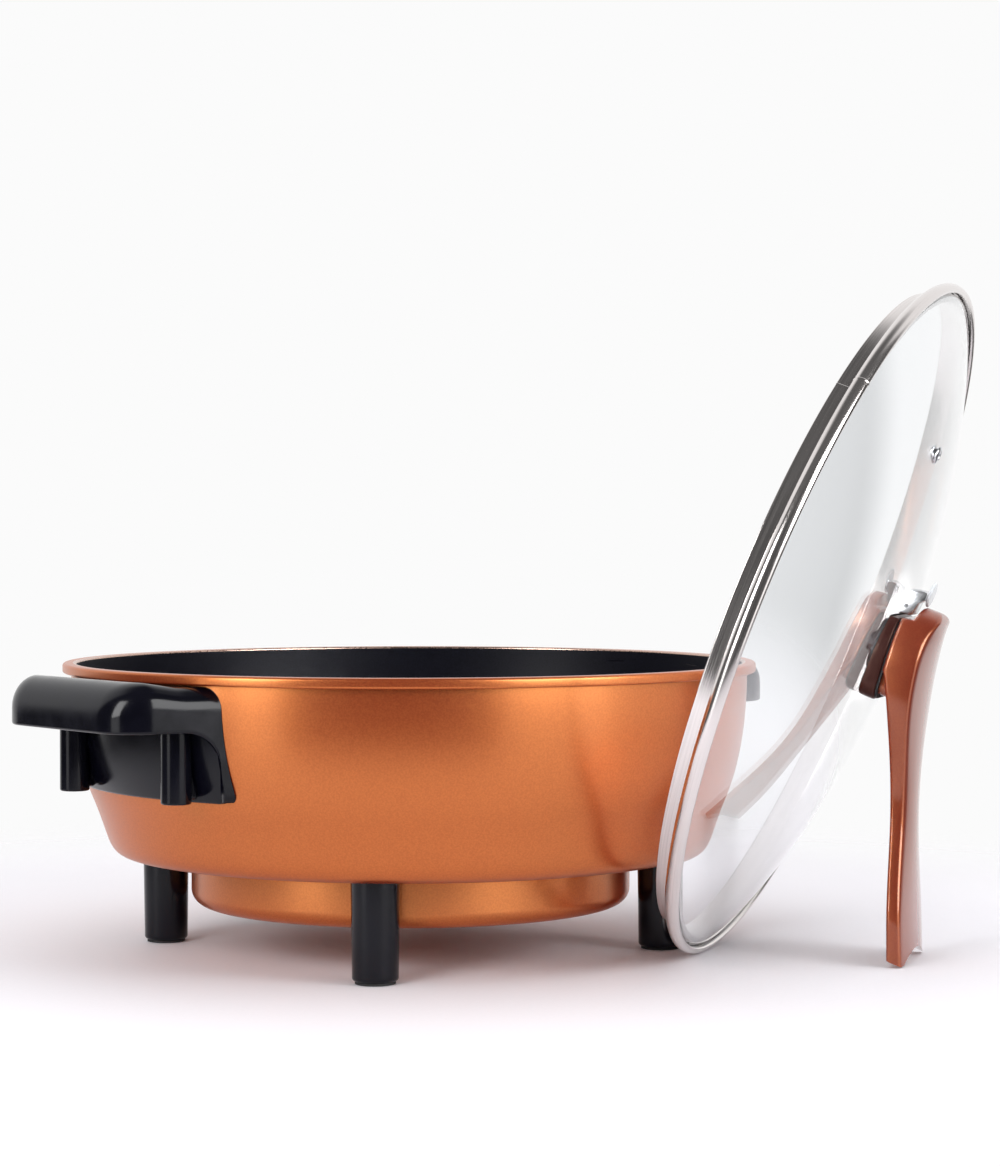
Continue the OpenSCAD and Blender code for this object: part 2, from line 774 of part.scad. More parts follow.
// Plan of the boss, set in by t: the arm's round end, cut short for the lever
module boss_plan(t) {
    r = boss_corner - t;
    x = boss_half_w - boss_corner;
    low = boss_corner - boss_down;
    end_r = boss_half_w - t;
    end_a = asin((boss_up - t - head_c) / end_r);
    polygon(concat(arc([0, head_c], end_r, 0, end_a), arc([0, head_c], end_r, 180 - end_a, 180),
        arc([-x, low], r, 180, 270), arc([x, low], r, 270, 360)));
}

module boss_gasket() {
    color("#202022") stand() difference() {
        translate([0, 0, dome_z(boss_down + boss_half_w)])
            linear_extrude(boss_z - dome_z(boss_down + boss_half_w)) boss_plan(gasket_inset);
        rotate_extrude() polygon(concat([[0, 0], [glass_r, 0]], dome_line(glass_r, 0, fit)));
        cylinder(r = lid_hole_r, h = boss_z + cut);
    }
}

module lever_pin_hole(gap, half) {
    translate([-half, pin_up, pin_z]) rotate([0, 90, 0]) cylinder(r = pin_r + gap, h = 2 * half);
}

module handle_boss() {
    far = boss_half_w + boss_down;
    color(copper) stand() difference() {
        union() {
            intersection() {
                translate([0, 0, boss_z]) linear_extrude(head_z) boss_plan(0);
                across(arm_w) polygon([[-far, 0], [far, 0], [far, boss_top(far)], [-far, boss_top(-far)]]);
            }
            // Lug that carries the lever's pin
            translate([-lug_half, pin_up, pin_z]) rotate([0, 90, 0]) cylinder(r = lug_r, h = 2 * lug_half);
            translate([-lug_half, boss_up - boss_corner, pin_z - lug_r])
                cube([2 * lug_half, pin_up - boss_up + boss_corner, boss_top(boss_up) - pin_z + lug_r]);
        }
        cylinder(r = lid_screw_r + 2 * fit, h = head_z);
        lever_pin_hole(pin_gap, lever_w);
    }
}

module seam_gasket() {
    far = boss_half_w + boss_down;
    color("#121214") stand() difference() {
        intersection() {
            translate([0, 0, boss_z]) linear_extrude(head_z) boss_plan(seam_inset);
            across(arm_w) polygon([[-far, boss_top(-far)], [far, boss_top(far)],
                                   [far, arm_under(far)], [-far, arm_under(-far)]]);
        }
        cylinder(r = lid_screw_r + 2 * fit, h = head_z);
    }
}

// Side view of the arm, Y along the lid and Z out of it
module arm_side() {
    nose = [head_up - head_round, head_z - head_round];
    shoulder = [shoulder_in - boss_down, arm_under(shoulder_in - boss_down)];
    brow = [head_up, arm_under(boss_up) + head_chamfer + head_edge[1]];
    toe = [-foot_reach, foot_z];
    heel = [-foot_reach, foot_z - foot_t];
    crown = [nose[0], head_z];
    outer = curve([crown, crown + [-head_pull[0], head_pull[1]], toe + toe_pull, toe]);
    inner = curve([heel, heel + heel_pull, shoulder + shoulder_pull, shoulder]);
    ledge = [boss_up + head_edge[0] / 2, arm_under(boss_up) + head_chamfer];
    polygon(concat([[boss_up - head_edge[0], arm_under(boss_up - head_edge[0])], ledge,
            [head_up - head_edge[0], ledge[1] + head_edge[1] / 2], brow],
        arc(nose, head_round, 0, 90), outer, inner));
}

// Plan of the arm before its waist and arch are cut: straight sides and a round upper end
module arm_plan() {
    low = -foot_reach - cut;
    polygon(concat(arc([0, head_c], arm_w / 2, 0, 180, 2 * curve_n),
        [[-arm_w / 2, low], [arm_w / 2, low]]));
}

module lid_handle() {
    color(copper) stand() difference() {
        intersection() {
            across(arm_w + 2 * cut) arm_side();
            linear_extrude(foot_z + cut) arm_plan();
        }
        translate([0, -foot_reach - arch_r + arch_h, 0]) cylinder(r = arch_r, h = foot_z + cut);
        for (side = [-1, 1]) translate([side * (arm_w / 2 - waist_in + waist_r), -waist_down, 0])
            cylinder(r = waist_r, h = foot_z + cut);
        cylinder(r = lid_screw_r + fit, h = lid_screw_top + cut);
    }
}

module glass_washer() {
    color("#2A2A2C") stand() translate([0, 0, washer_z - washer_t]) difference() {
        cylinder(r = washer_r, h = washer_t + fit);
        translate([0, 0, -cut]) cylinder(r = lid_hole_r, h = washer_t + 2 * cut);
        rotate_extrude() polygon(concat([[0, glass_t], [washer_r + cut, glass_t]],
            dome_line(washer_r + cut, 0, washer_t - washer_z - glass_t - fit)));
    }
}

module clamp_plate() {
    color(steel) stand() translate([0, 0, plate_z]) difference() {
        cylinder(r = plate_r, h = plate_t);
        translate([0, 0, -cut]) cylinder(r = lid_screw_r + 2 * fit, h = plate_t + 2 * cut);
    }
}

module lid_screw() {
    color(steel) stand() {
        translate([0, 0, plate_z - lid_head_h]) cylinder(r = lid_head_r, h = lid_head_h);
        translate([0, 0, plate_z - lid_head_h / 2])
            cylinder(r = lid_screw_r, h = lid_screw_top - plate_z + lid_head_h / 2);
    }
}

module lever_pin() { color(steel) stand() lever_pin_hole(0, lever_w / 2); }

module thumb_lever() {
    low = pin_up - cheek_low;
    color("#D6D6D8") stand() difference() {
        union() {
            across(lever_w) translate([pin_up, pin_z]) polygon(concat(cheek_line, tab_line));
            translate([0, pin_up + lever_up - stem_in, stem_z]) cylinder(r = stem_r, h = pad_z - stem_z);
        }
        translate([-slot_half, low - cut, pin_z - slot_drop])
            cube([2 * slot_half, cheek_low + lug_r + 2 * cut, slot_h]);
        lever_pin_hole(pin_gap, lever_w);
    }
}

module thumb_pad() {
    color("#E9ECEE") stand() translate([0, pad_y, pad_z]) cylinder(r = pad_r, h = pad_t);
}

pan();
heating_element();
terminal_pins();
terminal_bushes();
probe_sleeve();
inlet_shroud();
shroud_screws();
insulation_pad();
heat_shield();
base_cover();
base_screws();
leg_rear_right();
leg_rear_left();
leg_front_left();
leg_front_right();
leg_screws();
foot_pads();
handle_right();
handle_left();
bracket_right();
bracket_left();
handle_screws_right();
handle_screws_left();
lid_glass();
lid_rim();
vent_eyelet();
boss_gasket();
handle_boss();
seam_gasket();
lid_handle();
glass_washer();
clamp_plate();
lid_screw();
lever_pin();
thumb_lever();
thumb_pad();
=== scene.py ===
"""Finished surfaces, materials, light and camera for an electric skillet on its CAD frame."""

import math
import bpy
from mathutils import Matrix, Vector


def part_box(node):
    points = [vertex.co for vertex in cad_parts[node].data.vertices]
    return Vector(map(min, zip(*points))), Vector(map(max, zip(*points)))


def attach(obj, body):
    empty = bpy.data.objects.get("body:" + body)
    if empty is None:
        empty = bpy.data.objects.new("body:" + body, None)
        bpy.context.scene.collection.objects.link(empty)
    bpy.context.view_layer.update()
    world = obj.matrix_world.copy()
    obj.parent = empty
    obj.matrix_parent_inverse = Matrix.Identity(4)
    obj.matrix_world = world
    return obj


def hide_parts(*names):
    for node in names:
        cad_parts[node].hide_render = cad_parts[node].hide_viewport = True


bl_info = {
    "name": "Electric skillet dress",
    "version": (1, 0, 0),
    "blender": (4, 5, 0),
    "location": "View3D > Sidebar > Skillet",
    "description": "Builds the finished surfaces of an electric skillet over its CAD frame",
    "category": "Object",
}

import bmesh
import bpy
import numpy as np
from bpy.props import FloatProperty, FloatVectorProperty, PointerProperty
from bpy.types import Operator, Panel, PropertyGroup
from mathutils import Matrix

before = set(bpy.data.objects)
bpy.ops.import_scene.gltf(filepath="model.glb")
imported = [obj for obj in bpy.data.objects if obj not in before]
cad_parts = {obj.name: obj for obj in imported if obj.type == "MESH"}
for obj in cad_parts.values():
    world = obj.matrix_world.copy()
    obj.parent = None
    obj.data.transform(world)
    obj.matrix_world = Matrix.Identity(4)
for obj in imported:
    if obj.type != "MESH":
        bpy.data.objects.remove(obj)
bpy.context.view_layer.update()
MM = 0.001

# The lid's own frame: middle of its rim plane, then across, up along the lid and out of the dome
LID_MIDDLE = np.array([123.615, -149.496, 150.323]) * MM
LID_ACROSS = np.array([0.84897, 0.52844, 0.0])
LID_UP = np.array([0.19047, -0.30599, 0.93279])
LID_OUT = np.array([0.49292, -0.79191, -0.36043])

# Places and slopes that the surfaces share
BELLY_LEAN = math.radians(23.0)
HANDLE_HALF = 57.5 * MM
HANDLE_ROOT = 150.0 * MM
HANDLE_TAPER = 0.21
HANDLE_GAP = 0.15 * MM
WING_CORNER = 5.0 * MM
COLUMN_OUT = 155.5 * MM
COLUMN_ACROSS = 41.0 * MM
COLUMN_TOP = 111.2 * MM
GLASS_EDGE = -0.7 * MM
SEAM_SLOPE = math.tan(math.radians(4.2))
SEAM_HEIGHT = 33.4 * MM
ARM_FOOT = -126.3 * MM
ARM_HEAD = -3.5 * MM

# Edges that turn by more than this stay hard
CREASE = math.radians(38.0)
# Where in a noise's range a pattern goes over from its first value to its second
PATTERN_SPAN = (0.35, 0.65)
# Sockets that set a range
RANGE = ("From Min", "From Max", "To Min", "To Max")
# Where every lamp looks
LAMP_AIM = np.array([0.02, -0.03, 0.08])


def linear(code):
    """Linear RGBA of an sRGB hex colour such as #C86A3A."""
    parts = [int(code[i:i + 2], 16) / 255 for i in (1, 3, 5)]
    return tuple(c / 12.92 if c <= 0.04045 else ((c + 0.055) / 1.055) ** 2.4 for c in parts) + (1.0,)


def length(name, text, value):
    """A length property whose default is given in millimetres."""
    return FloatProperty(name=name, description=text, default=value * MM, unit="LENGTH", precision=5)


def colour(name, text, code):
    """A colour property whose default is an sRGB hex value."""
    return FloatVectorProperty(name=name, description=text, default=linear(code), size=4,
                               subtype="COLOR", min=0.0, max=1.0)


def top_of(node, axis):
    """Highest place of a CAD node along an axis, in millimetres."""
    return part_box(node)[1][axis] / MM


class SkilletSizes(PropertyGroup):
    """Lengths of the dressed pieces, from the CAD frame where a node gives them."""

    rim_r: length("Rim radius", "Outer radius of the rim band", top_of("pan", 1))
    rim_top: length("Rim top", "Height of the rim's top face", top_of("pan", 2))
    rim_under: length("Rim underside", "Height of the rim band's lower edge", 127.6)
    wall_r: length("Wall radius", "Outer radius of the wall under the rim", 156.0)
    wall_t: length("Wall thickness", "Thickness of the pan's wall", 2.2)
    pan_low: length("Pan underside", "Height of the flat underside", 44.0)
    pan_flat: length("Underside radius", "Radius of the flat underside", 125.8)
    floor_t: length("Floor thickness", "Thickness of the cooking floor", 3.5)
    belly_z: length("Belly height", "Height over the underside where the belly meets the wall", 27.0)
    belly_in: length("Belly inset", "How far the belly's turn lies inside the wall", 9.5)
    drum_r: length("Base radius", "Radius of the base cover", top_of("base_cover", 0))
    drum_low: length("Base underside", "Height of the base cover's underside", 20.5)
    drum_top: length("Base top", "Height of the base cover's upper edge", top_of("base_cover", 2))
    drum_corner: length("Base corner", "Rounding of the base cover's lower edge", 7.0)
    leg_ring: length("Leg ring", "Distance of the legs from the pan's axis", 115.8)
    leg_foot_r: length("Leg foot radius", "Radius of a leg at its foot", 10.0)
    leg_top_r: length("Leg top radius", "Radius of a leg under the pan", 10.6)
    leg_edge: length("Leg edge", "Rounding round the foot of a leg", 1.7)
    grip_reach: length("Handle reach", "Outermost place of a side handle", top_of("handle_right", 0))
    grip_top: length("Handle top", "Height of a side handle's top face at the rim", 127.1)
    grip_rise: length("Handle rise", "Rise of the top face from the rim outwards", 2.2)
    grip_lip: length("Handle lip", "Height of the hood's lower edge", 108.2)
    grip_low: length("Handle underside", "Height of the handle's lower end", 77.6)
    grip_shell: length("Handle shell", "Thickness of the hood", 3.5)
    glass_r: length("Glass radius", "Radius of the lid's glass", 158.2)
    glass_t: length("Glass thickness", "Thickness of the lid's glass", 4.0)
    dome_rise: length("Dome rise", "Height of the dome over its edge", 27.7)
    bead_r: length("Bead radius", "Radius of the rolled bead of the lid's rim", 4.1)
    skirt_r: length("Skirt radius", "Outer radius of the lid's skirt", 153.1)
    arm_w: length("Lid handle width", "Width of the lid's handle", 53.0)
    arm_edge: length("Lid handle edge", "Rounding along the lid handle's edges", 1.8)
    disc_r: length("Thumb disc radius", "Radius of the pale thumb disc", 5.8)


class SkilletColours(PropertyGroup):
    """Colours of the finishes."""

    copper: colour("Copper paint", "Pigment of the metallic paint", "#8A2208")
    copper_flake: colour("Copper flake", "Flakes in the metallic paint", "#F29A53")
    nonstick: colour("Coating", "Non-stick coating inside the pan", "#0D0D16")
    phenolic: colour("Handle black", "Moulded handles and legs", "#080811")
    bare: colour("Bare edge", "Edge of the metal at the pan's mouth", "#C9A99A")
    steel: colour("Lid steel", "Polished band round the lid", "#E0DAD8")
    zinc: colour("Plain steel", "Screws and brackets", "#A9ABAE")
    chrome: colour("Chrome", "Thumb lever", "#DCDDE0")
    glass: colour("Glass", "Toughened lid glass", "#F7F9FB")
    disc: colour("Thumb disc", "Pale grey disc", "#E6EAEE")
    # The rubber colour also paints the seam strip between boss and arm black, as painted shade of the gap
    # there
    rubber: colour("Rubber", "Feet, gaskets and the painted shade of the lid handle's seam", "#141416")
    sheath: colour("Heater sheath", "Nickel alloy sheath of the heating ring", "#6E6A66")
    reflector: colour("Reflector", "Bright aluminium heat shield", "#C6C8CA")
    ceramic: colour("Ceramic", "Bushes round the inlet pins", "#E9E5DA")
    felt: colour("Felt", "Mineral felt pad", "#B9B29E")
    paper: colour("Floor", "Pale floor", "#F5F3F8")


def sizes():
    """The lengths that the sidebar shows."""
    return bpy.context.scene.skillet_sizes


def colours():
    """The colours that the sidebar shows."""
    return bpy.context.scene.skillet_colours


def points_of(*rows):
    """Points from two or three arrays of coordinates, each stretched to the shape of all."""
    return np.stack(np.broadcast_arrays(*rows), axis=-1)


def chain(*runs, axis=0):
    """Runs of points or numbers, one after the other."""
    return np.concatenate(runs, axis)


def quarter(count):
    """Angles of a quarter turn, in radians from 0 up."""
    return np.linspace(0.0, math.pi / 2, count)


def arc(middle, radius, start, stop, count):
    """Points on a circle about middle from the start to the stop angle in degrees."""
    a = np.radians(np.linspace(start, stop, count))
    return points_of(middle[0] + radius * np.cos(a), middle[1] + radius * np.sin(a))


def cubic(a, b, c, d, count):
    """Points on the cubic curve with ends a and d that leaves a towards b and reaches d from c."""
    t = np.linspace(0.0, 1.0, count)[:, None]
    a, b, c, d = (np.asarray(p, float) for p in (a, b, c, d))
    return a * (1 - t) ** 3 + b * 3 * t * (1 - t) ** 2 + c * 3 * t * t * (1 - t) + d * t ** 3


def smooth(t):
    """Eased step from 0 to 1: 3 t squared less 2 t cubed, with t held between 0 and 1."""
    t = np.clip(t, 0.0, 1.0)
    return t * t * (3 - 2 * t)


def in_lid(points):
    """Places points given in the lid's own frame, across, up and out, in the shared frame."""
    across, up, out = points[..., :1], points[..., 1:2], points[..., 2:]
    return LID_MIDDLE + across * LID_ACROSS + up * LID_UP + out * LID_OUT


def sheet(points, wrap_rows=False, wrap_cols=False, caps=False, paint=0, step=(MM, MM)):
    """Quads over a grid of points: row i, column j joins to row i + 1 and column j + 1, round again where
    it wraps, with a flat cap on the first and last row if wanted. UV is the row and column times step."""
    rows, cols = points.shape[:2]
    i, j = np.meshgrid(np.arange(rows if wrap_rows else rows - 1),
                       np.arange(cols if wrap_cols else cols - 1), indexing="ij")
    i, j = i.ravel(), j.ravel()
    ci = np.stack([i, i + 1, i + 1, i], axis=1)
    cj = np.stack([j, j, j + 1, j + 1], axis=1)
    faces = ((ci % rows) * cols + cj % cols).tolist()
    uv = np.stack([ci * step[0], cj * step[1]], axis=2).reshape(-1, 2)
    paints = np.broadcast_to(np.asarray(paint), (cols,))[j].tolist()
    if caps:
        faces += [list(range(cols)), [(rows - 1) * cols + k for k in range(cols)]]
        uv = chain(uv, np.zeros((2 * cols, 2)))
        paints += [int(np.asarray(paint).flat[0])] * 2
    return {"points": points.reshape(-1, 3), "faces": faces, "uv": uv, "paints": paints}


def turned(profile, count, closed=False, paint=0, middle=(0.0, 0.0), tilt=None):
    """A profile of (radius, height) turned round the vertical: x = r cos a, y = r sin a, z = h."""
    a = np.linspace(0.0, 2 * math.pi, count, endpoint=False)[:, None]
    r, h = profile[None, :, 0], profile[None, :, 1]
    points = points_of(middle[0] + r * np.cos(a), middle[1] + r * np.sin(a), h)
    step = (2 * math.pi * float(profile[:, 0].max()) / count, MM)
    return sheet(points if tilt is None else tilt(points), True, closed, False, paint, step)


def lid_rings(across, up, out):
    """Closed stack of rings, one to a row, whose places are given in the lid's own frame."""
    return sheet(in_lid(points_of(across, up, out)), wrap_cols=True, caps=True)


def placed(name, data):
    """A new object in the scene with its mesh, lamp or camera data."""
    made = bpy.data.objects.new(name, data)
    bpy.context.scene.collection.objects.link(made)
    return made


def build(name, surfaces, materials, body, nodes):
    """Joins surfaces into one closed mesh with smooth faces and hard creases, and sets it on its body."""
    points = chain(*(s["points"] for s in surfaces))
    faces = []
    start = 0
    for s in surfaces:
        faces += [[k + start for k in face] for face in s["faces"]]
        start += len(s["points"])
    mesh = bpy.data.meshes.new(name)
    mesh.from_pydata(points.tolist(), [], faces)
    layer = mesh.uv_layers.new(name="UVMap")
    layer.data.foreach_set("uv", chain(*(s["uv"] for s in surfaces)).ravel())
    mesh.polygons.foreach_set("material_index", sum((s["paints"] for s in surfaces), []))
    work = bmesh.new()
    work.from_mesh(mesh)
    bmesh.ops.remove_doubles(work, verts=work.verts, dist=2e-6)
    bmesh.ops.dissolve_degenerate(work, dist=1e-7, edges=work.edges)
    bmesh.ops.recalc_face_normals(work, faces=work.faces)
    work.to_mesh(mesh)
    work.free()
    mesh.polygons.foreach_set("use_smooth", [True] * len(mesh.polygons))
    mesh.set_sharp_from_angle(angle=CREASE)
    for material in materials:
        mesh.materials.append(material)
    piece = placed(name, mesh)
    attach(piece, body)
    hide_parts(*nodes)
    return piece


def add_node(tree, kind, settings=None, links=None):
    """Adds one shader node of a kind, sets its sockets or own values by name, and links others into it."""
    node = tree.nodes.new("ShaderNode" + kind)
    for key, value in (settings or {}).items():
        if isinstance(key, int) or key in node.inputs:
            node.inputs[key].default_value = value
        else:
            setattr(node, key, value)
    for key, source in (links or {}).items():
        tree.links.new(source, node.inputs[key])
    return node


def finish(name, settings):
    """A material with one Principled shader, named surface, and its coordinates, named place. A second call
    under the same name makes the same material over again."""
    material = bpy.data.materials.get(name) or bpy.data.materials.new(name)
    material.use_nodes = True
    tree = material.node_tree
    tree.nodes.clear()
    shader = add_node(tree, "BsdfPrincipled", {"name": "surface", **settings})
    add_node(tree, "OutputMaterial", {"name": "end"}, {"Surface": shader.outputs[0]})
    add_node(tree, "TexCoord", {"name": "place"})
    return material


def shade(tint, factor):
    """The same colour, lighter or darker by a factor."""
    return tuple(min(1.0, c * factor) for c in tint[:3]) + (1.0,)


def shades(tint, low, high):
    """Two tones of one colour."""
    return shade(tint, low), shade(tint, high)


def patterned(material, size, detail=2.0, tones=None, gloss=None, bump=None, fall=0.55, vector=None):
    """Lets a noise with patches of about size metres drive a material: its colour between two tones, its
    roughness between two values, its relief by a depth in metres and a strength. Each finer octave of the
    noise is weaker by the factor fall."""
    tree = material.node_tree
    driven = tree.nodes["surface"].inputs
    noise = add_node(tree, "TexNoise", {"Scale": 1.0 / size, "Detail": detail, "Roughness": fall},
                     {"Vector": vector or tree.nodes["place"].outputs["Object"]})
    pattern = noise.outputs["Fac"]
    if tones:
        ramp = add_node(tree, "ValToRGB", None, {"Fac": pattern})
        for element, at, tone in zip(ramp.color_ramp.elements, PATTERN_SPAN, tones):
            element.position = at
            element.color = tone
        tree.links.new(ramp.outputs["Color"], driven["Base Color"])
    if gloss:
        rough = add_node(tree, "MapRange", dict(zip(RANGE, PATTERN_SPAN + gloss)), {"Value": pattern})
        tree.links.new(rough.outputs[0], driven["Roughness"])
    if bump:
        raised = add_node(tree, "Bump", {"Distance": bump[0], "Strength": bump[1]}, {"Height": pattern})
        tree.links.new(raised.outputs[0], driven["Normal"])
    return material


def copper_lacquer(name="copper metallic lacquer", tone=1.0, gloss=0.35, share=0.43, haze=0.15, bend=1.3):
    """Sprayed metallic paint, two shaders under one clear coat: a red-brown pigment that shows where little
    is reflected, and a share of orange flakes that gleam softly where a light is. The coat adds a sharper
    gleam and an orange peel of 3 mm. The flakes, some 0.05 mm across, are too fine to show and are drawn
    0.8 mm wide. A tone below 1 darkens pigment and flakes alike: the lid handle's arm and boss take such
    darker copies as painted shade."""
    c = colours()
    coat = {"Coat Weight": gloss, "Coat Roughness": haze, "Coat IOR": bend}
    made = finish(name, {"Metallic": 1.0, "Roughness": 0.31, **coat})
    patterned(made, 0.8 * MM, tones=shades(c.copper_flake, 0.9 * tone, 1.1 * tone), gloss=(0.28, 0.34))
    patterned(made, 3.0 * MM, bump=(0.02 * MM, 0.25))
    tree = made.node_tree
    pigment = add_node(tree, "BsdfPrincipled", {
        "Base Color": shade(c.copper, tone), "Roughness": 0.5, "Specular IOR Level": 0.2, **coat})
    both = add_node(tree, "MixShader", {0: share},
                    {1: pigment.outputs[0], 2: tree.nodes["surface"].outputs[0]})
    tree.links.new(both.outputs[0], tree.nodes["end"].inputs["Surface"])
    return made


def nonstick_coating():
    """Sprayed and baked non-stick coating: nearly black and satin, with a faint grit that is too fine to
    show and is drawn 0.8 mm wide."""
    made = finish("black non-stick coating", {"Roughness": 0.4, "IOR": 1.36, "Specular IOR Level": 0.25})
    return patterned(made, 0.8 * MM, tones=shades(colours().nonstick, 0.8, 1.5), gloss=(0.34, 0.46),
                     bump=(0.015 * MM, 0.4))


def moulded_phenolic():
    """Compression-moulded phenolic: black, glossy from the polished mould, with slight waves of 12 mm that
    soften the gloss unevenly and a fine flow grain of 0.9 mm."""
    made = finish("black moulded phenolic", {"Roughness": 0.17, "IOR": 1.33})
    patterned(made, 12.0 * MM, 3.0, shades(colours().phenolic, 0.85, 1.25), (0.13, 0.21))
    return patterned(made, 0.9 * MM, bump=(0.008 * MM, 0.3))


def polished_steel():
    """Rolled and polished stainless band: bright, with polishing lines along it that are too fine to show
    and are drawn 0.5 mm apart."""
    made = finish("polished stainless band", {"Metallic": 1.0, "Roughness": 0.16})
    tree = made.node_tree
    lines = add_node(tree, "Mapping", {"Scale": (1.0 / (60 * MM), 1.0 / (0.5 * MM), 1.0)},
                     {"Vector": tree.nodes["place"].outputs["UV"]})
    return patterned(made, 1.0, tones=shades(colours().steel, 0.92, 1.08), gloss=(0.12, 0.21),
                     bump=(0.004 * MM, 0.25), fall=0.5, vector=lines.outputs[0])


def toughened_glass():
    """Pressed and toughened soda-lime glass: clear and smooth. A coat stands for its bright mirror image at
    a slant, and waves of 40 mm from the press barely bend what is seen through it."""
    made = finish("toughened soda-lime glass", {
        "Base Color": tuple(colours().glass), "Roughness": 0.0, "IOR": 1.5, "Transmission Weight": 1.0,
        "Coat Weight": 1.0, "Coat Roughness": 0.0, "Coat IOR": 1.8})
    return patterned(made, 40.0 * MM, 0.0, bump=(0.05 * MM, 0.2))


def plain_metal(name, tint, low, high, size):
    """Plated or drawn metal: one colour, gloss that varies in patches of the given size from forming."""
    made = finish(name, {"Metallic": 1.0, "Roughness": (low + high) / 2})
    return patterned(made, size, 3.0, shades(tint, 0.93, 1.06), (low, high), (0.004 * MM, 0.3))


def matt_solid(name, tint, low, high, size, depth):
    """Moulded rubber, felt or fired clay: matt, with a grain of the given size and depth."""
    made = finish(name, {"Roughness": (low + high) / 2})
    return patterned(made, size, 4.0, shades(tint, 0.8, 1.2), (low, high), (depth, 0.6))


def black_rubber_and_gap_shade():
    """Moulded black rubber of the feet and the boss's seal: matt and dark, with a fine grain of 0.6 mm. The
    strip in the seam between boss and arm takes it too, as painted shade of the gap there.
    """
    return matt_solid("black moulded rubber and painted gap shade", colours().rubber, 0.6, 0.8, 0.6 * MM, 0.03 * MM)


def pale_polycarbonate():
    """Moulded polycarbonate: milky pale grey with a soft gloss and faint flow marks of 4 mm."""
    made = finish("pale polycarbonate", {"Roughness": 0.3, "IOR": 1.45})
    return patterned(made, 4.0 * MM, tones=shades(colours().disc, 0.96, 1.0), gloss=(0.16, 0.26))


def wall_line(inset, bottom):
    """The pan's wall from its flat bottom to the rim, as radius and height, set in by a thickness: one
    cubic curve leaves the bottom level and leans out to the belly, a second one ends upright at the rim."""
    z = sizes()
    count = 26
    bottom_pull, belly_pull, wall_pull, rim_pull = 0.72, 0.88, 0.2, 0.48
    lean = np.array([math.sin(BELLY_LEAN), math.cos(BELLY_LEAN)])
    turn = np.array([z.wall_r - z.belly_in - inset, z.pan_low + z.belly_z])
    start = np.array([z.pan_flat - inset / 2, z.pan_low + bottom])
    top = np.array([z.wall_r - inset, z.rim_under])
    rise = top[1] - turn[1]
    level = [bottom_pull * (turn[0] - start[0]), 0]
    low = cubic(start, start + level, turn - z.belly_z * belly_pull * lean, turn, count)
    high = cubic(turn, turn + rise * wall_pull * lean, top - [0, rise * rim_pull], top, count)
    return chain(low, high[1:])


def wall_radius(height):
    """Radius of the pan's outer wall at a height, read off its line."""
    line = wall_line(0.0, 0.0)
    return np.interp(height, line[:, 1], line[:, 0])


def pan_surface():
    """The pan turned from one line: under the floor, up the wall, round the rim band, over the bare edge at
    the mouth and down the coated inside to the middle of the cooking floor."""
    z = sizes()
    edge, crown, bare_edge, start = 1.0 * MM, 1.3 * MM, 0.9 * MM, 0.4 * MM
    mouth = z.wall_r - z.wall_t
    under = chain(points_of(np.linspace(0, z.pan_flat * 0.98, 8), z.pan_low), wall_line(0.0, 0.0))
    rim = chain(
        [[z.wall_r + start, z.rim_under]],
        arc((z.rim_r - edge, z.rim_under + edge), edge, -90, 0, 6),
        arc((z.rim_r - crown, z.rim_top - crown), crown, 0, 90, 8),
        [[mouth + 1.5 * MM, z.rim_top]])
    bare = arc((mouth + bare_edge, z.rim_top - bare_edge), bare_edge, 90, 180, 6)
    inside = chain(
        points_of(mouth, np.linspace(z.rim_top - 1.4 * MM, z.rim_under + start, 4)),
        wall_line(z.wall_t, z.floor_t)[::-1])
    floor = points_of(np.linspace(z.pan_flat * 0.97, 0, 10), z.pan_low + z.floor_t)
    line = chain(under, rim, bare, inside, floor)
    paint = np.repeat([0, 1, 2], [len(under) + len(rim) - 1, len(bare), len(inside) + len(floor) + 1])
    return turned(line, 288, paint=paint)


def base_surface():
    """The base cover turned from one line: level underside, round lower corner, upright side, thin lip and
    the same way back inside."""
    z = sizes()
    t = 1.0 * MM
    middle = (z.drum_r - z.drum_corner, z.drum_low + z.drum_corner)
    line = chain(
        [[0, z.drum_low], [0.4 * z.drum_r, z.drum_low], [0.8 * z.drum_r, z.drum_low]],
        arc(middle, z.drum_corner, -90, 0, 14),
        [[z.drum_r, z.drum_top - 2 * MM]],
        arc((z.drum_r - t / 2, z.drum_top - t / 2), t / 2, 0, 180, 9),
        arc(middle, z.drum_corner - t, 0, -90, 14),
        [[0.4 * z.drum_r, z.drum_low + t], [0, z.drum_low + t]])
    return turned(line, 224)


def leg_surface(turn):
    """A leg turned from one line, slightly wider at the top, with a rounded edge round its foot."""
    z = sizes()
    low = 1.0 * MM
    e = z.leg_edge
    line = chain(
        [[0, low], [z.leg_foot_r - 2 * e, low]],
        arc((z.leg_foot_r - e, low + e), e, -90, 2, 9),
        points_of(np.linspace(z.leg_foot_r, z.leg_top_r, 6), np.linspace(low + 1.5 * e, z.pan_low, 6)),
        [[0, z.pan_low]])
    a = math.radians(turn)
    return turned(line, 72, middle=(z.leg_ring * math.cos(a), z.leg_ring * math.sin(a)))


def side_half(x):
    """Half width of a side handle at a distance x from the pan's axis: a straight taper."""
    return HANDLE_HALF - (x - HANDLE_ROOT) * HANDLE_TAPER


